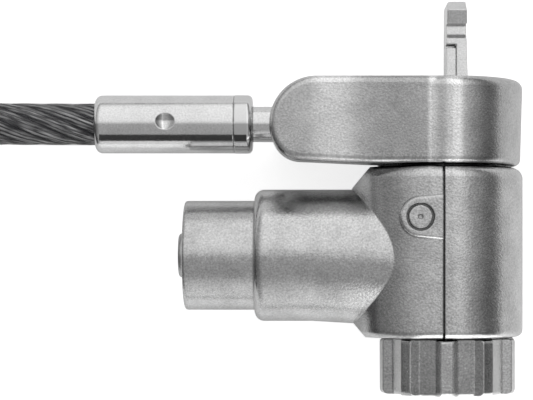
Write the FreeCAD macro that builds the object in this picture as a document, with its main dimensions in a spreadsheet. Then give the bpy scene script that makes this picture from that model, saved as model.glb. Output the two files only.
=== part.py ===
import FreeCAD, Part
import Sketcher
import math
import os

# Laptop cable lock, lying on its back, in millimetres.
# The design lines are the spindle axis (x 0, z 0, along Y) and the collar's upper face (y 0).
# +Y points to the laptop, +Z to the viewer. Every sub-part is then moved by the same three
# lengths, so that the model's origin lies under the middle of the lock.

Vector = FreeCAD.Vector

# Each driving size is written once here and goes into the sheet.
SIZES = {
    # housing, a stadium seen along the spindle
    "body_radius": 8.85,
    "body_flat": 2.4,
    "housing_height": 19.78,
    "housing_gap": 0.2,
    "housing_top_round": 1.3,
    "housing_bottom_round": 0.8,
    "seam_offset": 1.1,
    "seam_groove_width": 0.25,
    "seam_groove_depth": 0.7,
    "shoulder_cut_width": 2.05,
    "shoulder_cut_height": 2.4,
    "foot_cut_width": 1.5,
    "foot_cut_height": 1.75,
    # barrel that carries the lock cylinder
    "barrel_radius": 7.75,
    "barrel_drop": 20.45,
    "barrel_reach": 22.7,
    "barrel_bore_wall": 0.8,
    "barrel_rim_round": 1.15,
    "flare_rise": 0.05,
    "flare_drop": 0.5,
    "flare_length": 9.5,
    # collar with its arm
    "collar_height": 10.0,
    "collar_radius": 8.84,
    "collar_draft": 0.3,
    "collar_top_round": 1.05,
    "collar_rim_round": 0.8,
    "arm_half_depth": 8.51,
    "nose_upper_round": 5.4,
    "nose_lower_round": 4.4,
    "nose_foot_round": 3.4,
    "underside_slope": 2.6,
    "underside_flat": 5.0,
    "underside_rise": 0.6,
    "pivot_reach": 15.8,
    "slot_half_width": 2.35,
    "slot_eye_gap": 0.25,
    "slot_neck_gap": 0.3,
    "swing_slope": 20.0,
    # neck sleeve that the collar turns on
    "neck_radius": 5.5,
    "neck_wall": 0.9,
    "neck_roof": 1.5,
    "flange_radius": 6.5,
    "flange_thickness": 0.8,
    "flange_sink": 0.05,
    "flange_gap": 0.1,
    "washer_thickness": 0.25,
    "washer_bore": 5.6,
    # front boss and its pin
    "boss_centre": 3.65,
    "boss_drop": 16.1,
    "boss_radius": 2.35,
    "boss_half_mouth": 2.6,
    "boss_rise": 0.45,
    "boss_edge_round": 0.35,
    "neck_pin_radius": 1.3,
    "neck_pin_tip": 4.2,
    "pin_ring_width": 0.3,
    "pin_ring_depth": 0.5,
    "pin_dot_radius": 0.3,
    "pin_dot_depth": 0.2,
    # dowels across the seam
    "dowel_radius": 0.9,
    "dowel_length": 8.0,
    "dowel_offset": 7.2,
    "dowel_inset": 3.6,
    # spindle
    "thread_radius": 1.55,
    "thread_top": 9.3,
    "shaft_radius": 2.6,
    "shaft_tail_radius": 2.4,
    "shaft_tail": 4.5,
    "bush_radius": 4.2,
    "gear_radius": 5.0,
    "gear_half_thickness": 1.7,
    "gear_top_gap": 0.75,
    "gear_bottom_gap": 0.65,
    "gear_notches": 12,
    "notch_width": 1.5,
    "notch_depth": 1.2,
    "gear_room": 0.4,
    # thumb wheel
    "wheel_radius": 8.12,
    "wheel_height": 6.43,
    "wheel_gap": 0.2,
    "wheel_bottom_round": 0.6,
    "wheel_top_round": 0.35,
    "wheel_angle": 13.6,
    "flutes": 10,
    "flute_rim_width": 3.7,
    "flute_floor_width": 2.0,
    "flute_depth": 1.0,
    "flute_foot_round": 0.4,
    "rib_edge_round": 0.12,
    "wheel_screw_head": 2.7,
    "wheel_screw_head_height": 1.4,
    "wheel_screw_shank": 1.1,
    "wheel_screw_length": 5.5,
    "wheel_screw_play": 0.5,
    "screw_cross_reach": 1.89,
    # tongue
    "tongue_rise": 9.3,
    "tongue_step": 4.3,
    "tongue_middle": 0.94,
    "tongue_left_width": 1.14,
    "tongue_right_width": 1.36,
    "tongue_taper": 0.3,
    "tongue_root": 4.7,
    "tongue_half_depth": 3.3,
    "tongue_stem_depth": 1.6,
    "tongue_nose_cut": 0.9,
    "tongue_nose_slope": 1.9,
    "hook_nose_drop": 1.2,
    "hook_lip": 1.5,
    "hook_lip_slope": 0.05,
    "hook_notch_depth": 1.2,
    "hook_notch_height": 1.08,
    "hook_notch_blend": 0.5,
    "tongue_edge_round": 0.5,
    "blade_gap": 0.1,
    "guide_gap": 0.47,
    "guide_gap_depth": 1.2,
    "nut_radius": 4.5,
    "nut_top": 1.7,
    "nut_height": 10.1,
    "nut_bore_top": 5.0,
    "rivet_radius": 0.7,
    "rivet_half_length": 4.3,
    "rivet_drop": 3.2,
    # lock cylinder
    "cylinder_radius": 6.43,
    "cylinder_protrusion": 8.2,
    "cylinder_length": 17.3,
    "cylinder_round": 0.35,
    "cylinder_face": 1.2,
    "cylinder_push": 5.0,
    "core_radius": 3.9,
    "retainer_thickness": 0.6,
    "retainer_bore": 2.4,
    "end_cap_thickness": 1.4,
    "bolt_height": 2.6,
    "bolt_thickness": 1.3,
    "bolt_clearance": 4.0,
    "travel_pin_radius": 0.75,
    "travel_pin_inset": 2.7,
    "travel_pin_tip": 5.1,
    "travel_slot_depth": 1.5,
    "spring_radius": 5.2,
    "spring_wire": 0.45,
    "spring_turns": 4,
    # key core
    "core_boss_radius": 2.6,
    "core_boss_rise": 0.75,
    "core_boss_round": 0.4,
    "keyway_width": 1.2,
    "keyway_height": 3.8,
    "core_front": 1.05,
    "disc_radius": 3.3,
    "disc_count": 7,
    "disc_thickness": 0.9,
    "spacer_thickness": 0.6,
    "spacer_bore": 2.2,
    "sidebar_width": 1.0,
    "cam_thickness": 2.25,
    "latch_radius": 0.8,
    "latch_inset": 3.2,
    "latch_inner": 4.0,
    "latch_length": 2.35,
    "latch_throw": 0.65,
    # cable end
    "cable_radius": 2.5,
    "rope_radius": 2.0,
    "ferrule_radius": 3.42,
    "ferrule_reach": 41.45,
    "ferrule_length": 16.35,
    "ferrule_round": 0.8,
    "ferrule_joint_round": 0.1,
    "ferrule_socket_depth": 2.5,
    "rope_inside": 11.15,
    "dimple_reach": 33.05,
    "dimple_rise": 0.2,
    "dimple_ball": 1.7,
    "dimple_depth": 0.45,
    "ring_radius": 3.45,
    "ring_length": 2.15,
    "ring_round": 0.6,
    "stud_neck_radius": 2.1,
    "stud_eye_radius": 3.0,
    "stud_eye_half": 2.26,
    "stud_shank_length": 4.85,
    "pivot_pin_radius": 1.5,
    "pivot_pin_tip": 6.0,
    # rest of the cable
    "coil_outer": 34.4,
    "coil_inner": 19.9,
    "coil_layer_pitch": 5.5,
    "coil_turns": 10.517,
    "coil_bottom": 3.4,
    "sleeve_length": 18.0,
    "sleeve_half_width": 5.7,
    "sleeve_radius": 3.1,
    "sleeve_rim_round": 0.6,
    "strand_offset": 2.6,
    "tie_width": 10.0,
    "tie_thickness": 0.75,
    "tie_gap": 0.1,
    "tie_inner_room": 0.5,
    "tie_angle": 200.0,
    # clearances
    "turning_fit": 0.05,
    "sliding_fit": 0.04,
    "press_fit": 0.02,
}

document = FreeCAD.newDocument("laptop_cable_lock")
sheet = document.addObject("Spreadsheet::Sheet", "Sizes")
for row, (alias, number) in enumerate(SIZES.items(), start=1):
    sheet.set(f"A{row}", alias)
    sheet.set(f"B{row}", str(number))
    sheet.setAlias(f"B{row}", alias)
document.recompute()


class Size:
    """A length or a count, with the expression that ties it to the sheet."""

    def __init__(self, value, text):
        self.value = value
        self.text = text

    def __add__(self, other):
        other = as_size(other)
        return Size(self.value + other.value, f"({self.text} + {other.text})")

    def __sub__(self, other):
        other = as_size(other)
        return Size(self.value - other.value, f"({self.text} - {other.text})")

    def __mul__(self, other):
        other = as_size(other)
        return Size(self.value * other.value, f"({self.text} * {other.text})")

    def __truediv__(self, other):
        other = as_size(other)
        return Size(self.value / other.value, f"({self.text} / {other.text})")

    def __neg__(self):
        return Size(-self.value, f"(0 - {self.text})")

    def __radd__(self, other):
        return as_size(other) + self

    def __rsub__(self, other):
        return as_size(other) - self

    def __rmul__(self, other):
        return as_size(other) * self


def as_size(number):
    if isinstance(number, Size):
        return number
    return Size(float(number), f"({float(number)!r})")


def root_of(size):
    return Size(math.sqrt(size.value), f"sqrt({size.text})")


def sine_of(angle):
    return Size(math.sin(math.radians(angle.value)), f"sin({angle.text})")


def cosine_of(angle):
    return Size(math.cos(math.radians(angle.value)), f"cos({angle.text})")


def size(alias):
    return Size(float(sheet.get(alias)), f"Sizes.{alias}")


# A turn that takes a piece's own Z axis to the named axis.
TURNS = {
    "X": FreeCAD.Rotation(Vector(1, 1, 1), 120),
    "Y": FreeCAD.Rotation(Vector(1, 1, 1), 240),
    "Z": FreeCAD.Rotation(),
}
OVERCUT = 1.0

places = {}
sub_parts = {}


def bind(item, path, number):
    item.setExpression(path, as_size(number).text)


def place(item, spot, rotation=FreeCAD.Rotation()):
    item.Placement = FreeCAD.Placement(Vector(), rotation)
    places[item.Name] = spot
    for axis, number in zip("xyz", spot):
        bind(item, f".Placement.Base.{axis}", number)
    return item


def spot_on(axis, along, across):
    spot = list(across)
    spot.insert("XYZ".index(axis), along)
    return spot


def box(name, low_x, high_x, low_y, high_y, low_z, high_z):
    item = document.addObject("Part::Box", name)
    bind(item, "Length", as_size(high_x) - low_x)
    bind(item, "Width", as_size(high_y) - low_y)
    bind(item, "Height", as_size(high_z) - low_z)
    return place(item, (low_x, low_y, low_z))


def rod(name, axis, radius, start, end, across=(0, 0)):
    item = document.addObject("Part::Cylinder", name)
    bind(item, "Radius", radius)
    bind(item, "Height", as_size(end) - start)
    return place(item, spot_on(axis, start, across), TURNS[axis])


def ball(name, radius, spot):
    item = document.addObject("Part::Sphere", name)
    bind(item, "Radius", radius)
    return place(item, spot)


def polygon_sketch(body, name, plane, points):
    sketch = body.newObject("Sketcher::SketchObject", name)
    for feature in body.Origin.OriginFeatures:
        if feature.Role == plane:
            sketch.AttachmentSupport = [(feature, "")]
    sketch.MapMode = "FlatFace"
    corners = [(as_size(across), as_size(along)) for across, along in points]
    count = len(corners)
    for index in range(count):
        start = corners[index]
        end = corners[(index + 1) % count]
        line = Part.LineSegment(
            Vector(start[0].value, start[1].value, 0),
            Vector(end[0].value, end[1].value, 0),
        )
        sketch.addGeometry(line)
    for index in range(count):
        joined = Sketcher.Constraint("Coincident", index, 2, (index + 1) % count, 1)
        sketch.addConstraint(joined)
    for index, corner in enumerate(corners):
        for kind, number in zip(("DistanceX", "DistanceY"), corner):
            located = Sketcher.Constraint(kind, -1, 1, index, 1, number.value)
            place_in_list = sketch.addConstraint(located)
            sketch.setExpression(f"Constraints[{place_in_list}]", number.text)
    return sketch


def turned(name, axis, points, across=(0, 0)):
    """A body of revolution from corners (radius, place along the axis)."""
    body = document.addObject("PartDesign::Body", name)
    profile = polygon_sketch(body, f"{name}_profile", "XZ_Plane", points)
    revolution = body.newObject("PartDesign::Revolution", f"{name}_turn")
    revolution.Profile = profile
    revolution.ReferenceAxis = (profile, ["V_Axis"])
    revolution.Angle = 360
    return place(body, spot_on(axis, 0, across), TURNS[axis])


def plate(name, axis, points, start, end):
    """A body padded along the axis from corners on its plane, in the order yz, zx or xy."""
    body = document.addObject("PartDesign::Body", name)
    profile = polygon_sketch(body, f"{name}_profile", "XY_Plane", points)
    pad = body.newObject("PartDesign::Pad", f"{name}_pad")
    pad.Profile = profile
    bind(pad, "Length", as_size(end) - start)
    return place(body, spot_on(axis, start, (0, 0)), TURNS[axis])


def joined(name, items):
    item = document.addObject("Part::MultiFuse", name)
    item.Shapes = items
    item.Refine = True
    return item


def group(name, items):
    """Separate solids of one kind in one sub-part."""
    item = document.addObject("Part::Compound", name)
    item.Links = items
    return item


def cut(name, base, tools):
    item = document.addObject("Part::Cut", name)
    item.Base = base
    item.Tool = tools[0] if len(tools) == 1 else group(f"{name}_tools", tools)
    return item


def rounded(name, base, radius, wanted):
    """The base with the edges that the test picks rounded."""
    document.recompute()
    item = document.addObject("Part::Fillet", name)
    item.Base = base
    picked = [i for i, edge in enumerate(base.Shape.Edges, start=1) if wanted(edge)]
    item.Edges = [(index, radius.value, radius.value) for index in picked]
    return item


def soften(body, name, radius, wanted):
    """A fillet inside a body, on the edges that the test picks."""
    document.recompute()
    tip = body.Tip
    picked = [f"Edge{i}" for i, edge in enumerate(tip.Shape.Edges, start=1) if wanted(edge)]
    fillet = body.newObject("PartDesign::Fillet", name)
    fillet.Base = (tip, picked)
    bind(fillet, "Radius", radius)
    return body


def sub_part(item, name):
    """Names a finished piece and moves it to the model's origin."""
    spot = places.get(item.Name, (0, 0, 0))
    moved = [as_size(number) + shift for number, shift in zip(spot, ORIGIN_SHIFT)]
    for axis, number in zip("xyz", moved):
        bind(item, f".Placement.Base.{axis}", number)
    item.Label = name
    sub_parts[name] = item


def near(first, second):
    return abs(first - second) < 0.01


def lies_at(axis, place_on_axis):
    """Picks the edges that lie wholly at one place along an axis."""
    low = {"x": "XMin", "y": "YMin", "z": "ZMin"}[axis]
    high = {"x": "XMax", "y": "YMax", "z": "ZMax"}[axis]

    def wanted(edge):
        bounds = edge.BoundBox
        at_low = near(getattr(bounds, low), place_on_axis.value)
        return at_low and near(getattr(bounds, high), place_on_axis.value)

    return wanted


# Levels along the spindle, down from the collar's upper face.
collar_bottom = -size("collar_height")
housing_top = collar_bottom - size("housing_gap")
housing_bottom = housing_top - size("housing_height")
wheel_top = housing_bottom - size("wheel_gap")
wheel_bottom = wheel_top - size("wheel_height")
barrel_axis = -size("barrel_drop")
arm_axis = collar_bottom / 2
seam = -size("seam_offset")
body_radius = size("body_radius")
neck_bottom = barrel_axis + size("gear_half_thickness") + size("gear_top_gap")
gear_cavity_bottom = barrel_axis - size("gear_half_thickness") - size("gear_bottom_gap")
barrel_bore_end = -(size("gear_radius") + size("gear_room") + size("barrel_bore_wall"))
tongue_top = size("tongue_rise")
cylinder_front = -size("barrel_reach") - size("cylinder_protrusion")
cylinder_back = cylinder_front + size("cylinder_length")
travel_pin_place = size("travel_pin_inset") - size("barrel_reach")
latch_place = cylinder_back - size("latch_inset")
shell_bore = size("core_radius") + size("turning_fit")
turning_fit = size("turning_fit")
press_fit = size("press_fit")

ORIGIN_SHIFT = (
    (size("ferrule_reach") - body_radius) / 2,
    -(tongue_top + wheel_bottom) / 2,
    body_radius,
)


def make_collar_arm():
    """Collar disc and arm block, with the neck bore, the flange seat and the stud's slot."""
    top_radius = size("collar_radius")
    bottom_radius = top_radius - size("collar_draft")
    disc = turned("collar_disc", "Y", [
        (0, collar_bottom), (bottom_radius, collar_bottom), (top_radius, 0), (0, 0),
    ])
    for name, level, round_size in (("bottom", collar_bottom, "collar_rim_round"),
                                    ("top", as_size(0), "collar_top_round")):
        soften(disc, f"collar_{name}_rim", size(round_size),
               lambda edge: near(edge.BoundBox.ZMin, level.value)
               and near(edge.BoundBox.ZLength, 0))
    pivot = -size("pivot_reach")
    depth = size("arm_half_depth")
    slab = arm_slab(pivot, depth)
    solid = joined("collar_solid", [disc, slab])
    bore = rod("collar_bore", "Y", size("neck_radius") + turning_fit,
               collar_bottom - OVERCUT, OVERCUT)
    seat = rod("flange_seat", "Y", size("flange_radius") + 2 * turning_fit,
               flange_seat_level(), OVERCUT)
    half = size("slot_half_width")
    eye_room = size("stud_eye_radius") + size("slot_eye_gap")
    neck_room = size("stud_neck_radius") + size("slot_neck_gap")
    sine = sine_of(size("swing_slope"))
    cosine = cosine_of(size("swing_slope"))
    left_end = pivot - size("collar_height")
    foot_x = pivot + neck_room * sine
    foot_y = arm_axis - neck_room * cosine
    slot = plate("stud_slot", "Z", [
        (pivot + neck_room, OVERCUT), (pivot + neck_room, arm_axis), (foot_x, foot_y),
        (left_end, foot_y - (foot_x - left_end) * sine / cosine), (left_end, OVERCUT),
    ], -half, half)
    eye_slot = rod("eye_slot", "Z", eye_room, -half, half, (pivot, arm_axis))
    pin_hole = rod("arm_pin_hole", "Z", size("pivot_pin_radius"),
                   -depth - OVERCUT, size("pivot_pin_tip"), (pivot, arm_axis))
    arm = cut("collar_arm", solid, [bore, seat, slot, eye_slot, pin_hole])
    sub_part(arm, "collar_arm")


def arm_slab(pivot, depth):
    """The arm with its rounded end, drafted faces and an underside that rises to the back.

    The underside also rises from the collar to the arm's end, and the rounded end runs
    smoothly into it.
    """
    left = pivot - size("collar_height") / 2
    outline = box("arm_block", left, 0, collar_bottom, 0, -depth, depth)
    for level, name in ((as_size(0), "nose_upper_round"), (collar_bottom, "nose_lower_round")):
        outline = rounded(f"arm_{name}", outline, size(name),
                          lambda edge: near(edge.BoundBox.XMax, left.value)
                          and near(edge.BoundBox.YMax, level.value)
                          and near(edge.BoundBox.YLength, 0))
    low_depth = depth - size("collar_draft")
    section = plate("arm_section", "X", [
        (OVERCUT, -depth), (OVERCUT, depth), (0, depth), (collar_bottom, low_depth),
        (collar_bottom, size("underside_flat")),
        (collar_bottom + size("underside_rise"), -low_depth), (0, -depth),
    ], left - OVERCUT, OVERCUT)
    slope = size("underside_slope")
    run = -size("collar_radius") - left + OVERCUT
    rise = run * sine_of(slope) / cosine_of(slope)
    lean = FreeCAD.Rotation(Vector(0, 0, 1), -slope.value)
    place(section, (left - OVERCUT, rise, 0), lean.multiply(TURNS["X"]))
    slab = document.addObject("Part::MultiCommon", "arm_slab")
    slab.Shapes = [outline, section]
    nose_end = left + size("nose_lower_round")

    def nose_foot(edge):
        bounds = edge.BoundBox
        in_nose = left.value + 0.01 < bounds.XMin and bounds.XMax < nose_end.value
        return in_nose and bounds.YMax < arm_axis.value and bounds.ZLength > OVERCUT

    slab = rounded("arm_nose_foot", slab, size("nose_foot_round"), nose_foot)
    inner = pivot / 2
    shallow = low_depth - OVERCUT

    def outer_edge(edge):
        bounds = edge.BoundBox
        on_face = bounds.ZMin > shallow.value or bounds.ZMax < -shallow.value
        return on_face and bounds.XMin < inner.value and bounds.XLength > 1

    return rounded("arm_slab_round", slab, size("collar_rim_round"), outer_edge)


def flange_seat_level():
    return -(size("flange_sink") + size("flange_thickness") + size("flange_gap")
             + size("washer_thickness"))


def make_pivot_pin():
    pivot = -size("pivot_reach")
    pin_back = size("collar_draft") - size("arm_half_depth")
    pin = rod("pivot_pin", "Z", size("pivot_pin_radius"), pin_back, size("pivot_pin_tip"),
              (pivot, arm_axis))
    sub_part(pin, "pivot_pin")


def make_swivel_washer():
    low = flange_seat_level()
    high = low + size("washer_thickness")
    inner = size("washer_bore")
    outer = size("flange_radius") - 2 * turning_fit
    washer = turned("swivel_washer", "Y", [
        (inner, low), (outer, low), (outer, high), (inner, high),
    ])
    sub_part(washer, "swivel_washer")


def stadium(name, radius, low, high):
    """The housing's plan seen along the spindle, between two levels."""
    flat = -size("body_flat")
    right = rod(f"{name}_right", "Y", radius, low, high)
    left = rod(f"{name}_left", "Y", radius, low, high, (flat, 0))
    middle = box(f"{name}_middle", flat, 0, low, high, -radius, radius)
    return joined(name, [right, left, middle])


def seam_half(name, to_the_right):
    """A box over the cover's side or over the main shell's side of the seam."""
    reach = body_radius + size("body_flat") + OVERCUT
    low_x, high_x = (seam, reach) if to_the_right else (-size("barrel_reach") - OVERCUT, seam)
    return box(name, low_x, high_x, housing_bottom - OVERCUT, housing_top + OVERCUT,
               -reach, reach)


def housing_cavities(name):
    """Rooms inside both shells for the neck, the gear and the bush, and the dowel holes."""
    neck_room = rod(f"{name}_neck_seat", "Y", size("neck_radius") + press_fit,
                    neck_bottom - turning_fit, housing_top + OVERCUT)
    gear_room = rod(f"{name}_gear_room", "Y", size("gear_radius") + size("gear_room"),
                    gear_cavity_bottom, neck_bottom)
    bush_seat = rod(f"{name}_bush_seat", "Y", size("bush_radius") + press_fit,
                    housing_bottom - OVERCUT, gear_cavity_bottom + turning_fit)
    return [neck_room, gear_room, bush_seat] + dowels(f"{name}_dowel_hole")


def dowels(name):
    """Two dowels, high at the back and low at the front."""
    half = size("dowel_length") / 2
    high_level = housing_top - size("dowel_inset")
    low_level = housing_bottom + size("dowel_inset")
    offset = size("dowel_offset")
    spots = [(high_level, -offset), (low_level, offset)]
    return [
        rod(f"{name}_{index}", "X", size("dowel_radius"), seam - half, seam + half, spot)
        for index, spot in enumerate(spots, start=1)
    ]


def housing_solid(name):
    solid = stadium(f"{name}_plan", body_radius, housing_bottom, housing_top)
    solid = rounded(f"{name}_top", solid, size("housing_top_round"), lies_at("y", housing_top))
    return rounded(f"{name}_rims", solid, size("housing_bottom_round"),
                   lies_at("y", housing_bottom))


def make_main_housing():
    """Left shell: half of the stadium, the barrel, the shoulder cut and the front boss."""
    solid = housing_solid("main_shell")
    cover_side = seam_half("main_shell_trim", True)
    left_end = -(body_radius + size("body_flat"))
    shoulder = plate("shoulder_cut", "Z", [
        (left_end - OVERCUT, housing_top + OVERCUT),
        (left_end + size("shoulder_cut_width"), housing_top + OVERCUT),
        (left_end + size("shoulder_cut_width"), housing_top),
        (left_end, housing_top - size("shoulder_cut_height")),
        (left_end - OVERCUT, housing_top - size("shoulder_cut_height")),
    ], -body_radius - OVERCUT, body_radius + OVERCUT)
    foot = plate("foot_cut", "Z", [
        (left_end - OVERCUT, housing_bottom - OVERCUT),
        (left_end + size("foot_cut_width"), housing_bottom - OVERCUT),
        (left_end + size("foot_cut_width"), housing_bottom),
        (left_end, housing_bottom + size("foot_cut_height")),
        (left_end - OVERCUT, housing_bottom + size("foot_cut_height")),
    ], -body_radius - OVERCUT, body_radius + OVERCUT)
    trimmed = cut("main_shell_trimmed", solid, [cover_side, shoulder, foot])

    reach = -size("barrel_reach")
    axis = (barrel_axis, 0)
    room_end = barrel_bore_end
    tube = turned("barrel_tube", "X", [
        (0, reach), (size("barrel_radius"), reach),
        (size("barrel_radius"), room_end), (0, room_end),
    ], axis)
    soften(tube, "barrel_rim", size("barrel_rim_round"),
           lambda edge: near(edge.BoundBox.ZMax, reach.value))
    flare = document.addObject("Part::Cone", "barrel_flare")
    bind(flare, "Radius1", size("barrel_radius"))
    bind(flare, "Radius2", size("barrel_radius") + size("flare_rise"))
    bind(flare, "Height", size("flare_length"))
    dip = math.degrees(math.atan2(size("flare_drop").value, size("flare_length").value))
    lean = FreeCAD.Rotation(Vector(0, 0, 1), -dip)
    place(flare, (room_end - size("flare_length"), *axis), lean.multiply(TURNS["X"]))

    centre = -size("boss_centre")
    level = -size("boss_drop")
    face = body_radius + size("boss_rise")
    boss_base = body_radius - size("boss_radius")
    round_end = rod("boss_round", "Z", size("boss_radius"), boss_base, face, (centre, level))
    mouth = size("boss_half_mouth")
    bridge = plate("boss_bridge", "Z", [
        (centre, level - size("boss_radius")), (seam, level - mouth),
        (seam, level + mouth), (centre, level + size("boss_radius")),
    ], boss_base, face)
    boss = joined("front_boss", [round_end, bridge])

    def boss_edge(edge):
        bounds = edge.BoundBox
        return near(bounds.ZMin, face.value) and bounds.XLength > bounds.ZLength + 1

    boss = rounded("front_boss_round", boss, size("boss_edge_round"), boss_edge)
    whole = joined("main_housing_solid", [trimmed, tube, flare, boss])
    bore = rod("barrel_bore", "X", size("cylinder_radius") + size("sliding_fit"),
               reach - OVERCUT, room_end, axis)
    slot_half_height = size("bolt_height") / 2 + turning_fit
    slot_half_depth = size("bolt_thickness") / 2 + turning_fit
    bolt_slot = box("bolt_slot", room_end - OVERCUT, 0,
                    barrel_axis - slot_half_height, barrel_axis + slot_half_height,
                    -slot_half_depth, slot_half_depth)
    pin_hole = rod("neck_pin_hole", "Z", size("neck_pin_radius"), 0, face + OVERCUT,
                   (centre, level))
    pin_ring = rod("neck_pin_ring", "Z", size("neck_pin_radius") + size("pin_ring_width"),
                   face - size("pin_ring_depth"), face + OVERCUT, (centre, level))
    travel_hole = rod("travel_pin_hole", "Z", size("travel_pin_radius"),
                      -size("barrel_radius") - OVERCUT, 0,
                      (travel_pin_place, barrel_axis))
    pocket_radius = size("latch_radius") + turning_fit
    pocket_floor = barrel_axis - latch_outer_end() - size("latch_throw") - turning_fit
    pushed_place = latch_place + size("cylinder_push")
    pockets = [
        rod(f"latch_pocket_{index}", "Y", pocket_radius, pocket_floor, barrel_axis, (place_x, 0))
        for index, place_x in enumerate((latch_place, pushed_place), start=1)
    ]
    tools = housing_cavities("main") + [bore, bolt_slot, pin_hole, pin_ring, travel_hole]
    sub_part(cut("main_housing", whole, tools + pockets), "main_housing")


def make_housing_cover():
    """Right shell, with the shallow groove that shows as the seam line."""
    solid = housing_solid("cover_shell")
    depth = size("seam_groove_depth")
    groove_right = seam + size("seam_groove_width")
    outer = body_radius + OVERCUT
    frame = box("groove_outer", seam, groove_right, housing_bottom - OVERCUT,
                housing_top + OVERCUT, -outer, outer)
    inner = body_radius - depth
    middle = box("groove_inner", seam, groove_right, housing_bottom + depth,
                 housing_top - depth, -inner, inner)
    groove = cut("seam_groove", frame, [middle])
    tools = [seam_half("cover_trim", False), groove] + housing_cavities("cover")
    sub_part(cut("housing_cover", solid, tools), "housing_cover")


def make_neck_sleeve():
    """Flanged sleeve with the roof that guides the tongue."""
    radius = size("neck_radius")
    top = -size("flange_sink")
    flange_bottom = top - size("flange_thickness")
    roof = -size("neck_roof")
    inner = radius - size("neck_wall")
    outline = turned("neck_sleeve_body", "Y", [
        (0, top), (size("flange_radius"), top), (size("flange_radius"), flange_bottom),
        (radius, flange_bottom), (radius, neck_bottom), (inner, neck_bottom),
        (inner, roof), (0, roof),
    ])
    fit = turning_fit
    slot = box("tongue_slot", tongue_left() - fit, tongue_right() + fit, roof - OVERCUT,
               OVERCUT, -size("tongue_half_depth") - fit, size("tongue_stem_depth") + fit)
    pin_hole = rod("sleeve_pin_hole", "Z", size("neck_pin_radius"), size("neck_pin_tip"),
                   radius + OVERCUT, (-size("boss_centre"), -size("boss_drop")))
    sub_part(cut("neck_sleeve", outline, [slot, pin_hole]), "neck_sleeve")


def make_neck_pin():
    face = body_radius + size("boss_rise")
    spot = (-size("boss_centre"), -size("boss_drop"))
    shank = rod("neck_pin_shank", "Z", size("neck_pin_radius"), size("neck_pin_tip"), face, spot)
    dot = rod("neck_pin_dot", "Z", size("pin_dot_radius"), face - size("pin_dot_depth"),
              face + OVERCUT, spot)
    sub_part(cut("neck_pin", shank, [dot]), "neck_pin")


def make_cover_dowels():
    sub_part(group("cover_dowels", dowels("cover_dowel")), "cover_dowels")


def make_travel_pin():
    pin = rod("travel_pin", "Z", size("travel_pin_radius"),
              press_fit - size("barrel_radius"), -size("travel_pin_tip"),
              (travel_pin_place, barrel_axis))
    sub_part(pin, "travel_pin")


def make_spindle_bush():
    inner = size("shaft_radius") + turning_fit
    outer = size("bush_radius")
    bush = turned("spindle_bush", "Y", [
        (inner, housing_bottom), (outer, housing_bottom),
        (outer, gear_cavity_bottom), (inner, gear_cavity_bottom),
    ])
    sub_part(bush, "spindle_bush")


def make_drive_screw():
    """Shaft with the screw at its upper end and the wheel's seat at its lower end."""
    shoulder = neck_bottom - size("gear_room") / 2
    tail = wheel_top - size("shaft_tail")
    shaft = turned("drive_screw_body", "Y", [
        (0, -size("thread_top")), (size("thread_radius"), -size("thread_top")),
        (size("thread_radius"), shoulder), (size("shaft_radius"), shoulder),
        (size("shaft_radius"), wheel_top), (size("shaft_tail_radius"), wheel_top),
        (size("shaft_tail_radius"), tail), (0, tail),
    ])
    hole = rod("wheel_screw_hole", "Y", size("wheel_screw_shank"), tail - OVERCUT,
               tail + size("wheel_screw_length"))
    sub_part(cut("drive_screw", shaft, [hole]), "drive_screw")


def make_lock_gear():
    """Notched disc at the level of the lock cylinder's bolt, one notch towards the bolt."""
    half = size("gear_half_thickness")
    radius = size("gear_radius")
    gear = turned("lock_gear", "Y", [
        (size("shaft_radius"), barrel_axis - half), (radius, barrel_axis - half),
        (radius, barrel_axis + half), (size("shaft_radius"), barrel_axis + half),
    ])
    floor = radius - size("notch_depth")
    side = size("notch_width") / 2
    notch = polygon_sketch(gear, "gear_notch", "XY_Plane", [
        (-side, -radius - OVERCUT), (side, -radius - OVERCUT), (side, -floor), (-side, -floor),
    ])
    repeat_cut(gear, "gear", notch, "gear_notches")
    sub_part(gear, "lock_gear")


def repeat_cut(body, name, profile, count):
    """Cuts the profile right through the body and repeats the cut round the body's axis."""
    pocket = body.newObject("PartDesign::Pocket", f"{name}_pocket")
    pocket.Profile = profile
    pocket.Type = "ThroughAll"
    pattern = body.newObject("PartDesign::PolarPattern", f"{name}_pattern")
    pattern.Originals = [pocket]
    pattern.Axis = (profile, ["N_Axis"])
    pattern.Angle = 360
    bind(pattern, "Occurrences", size(count))
    body.Tip = pattern
    for feature in (profile, pocket):
        feature.Visibility = False


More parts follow.
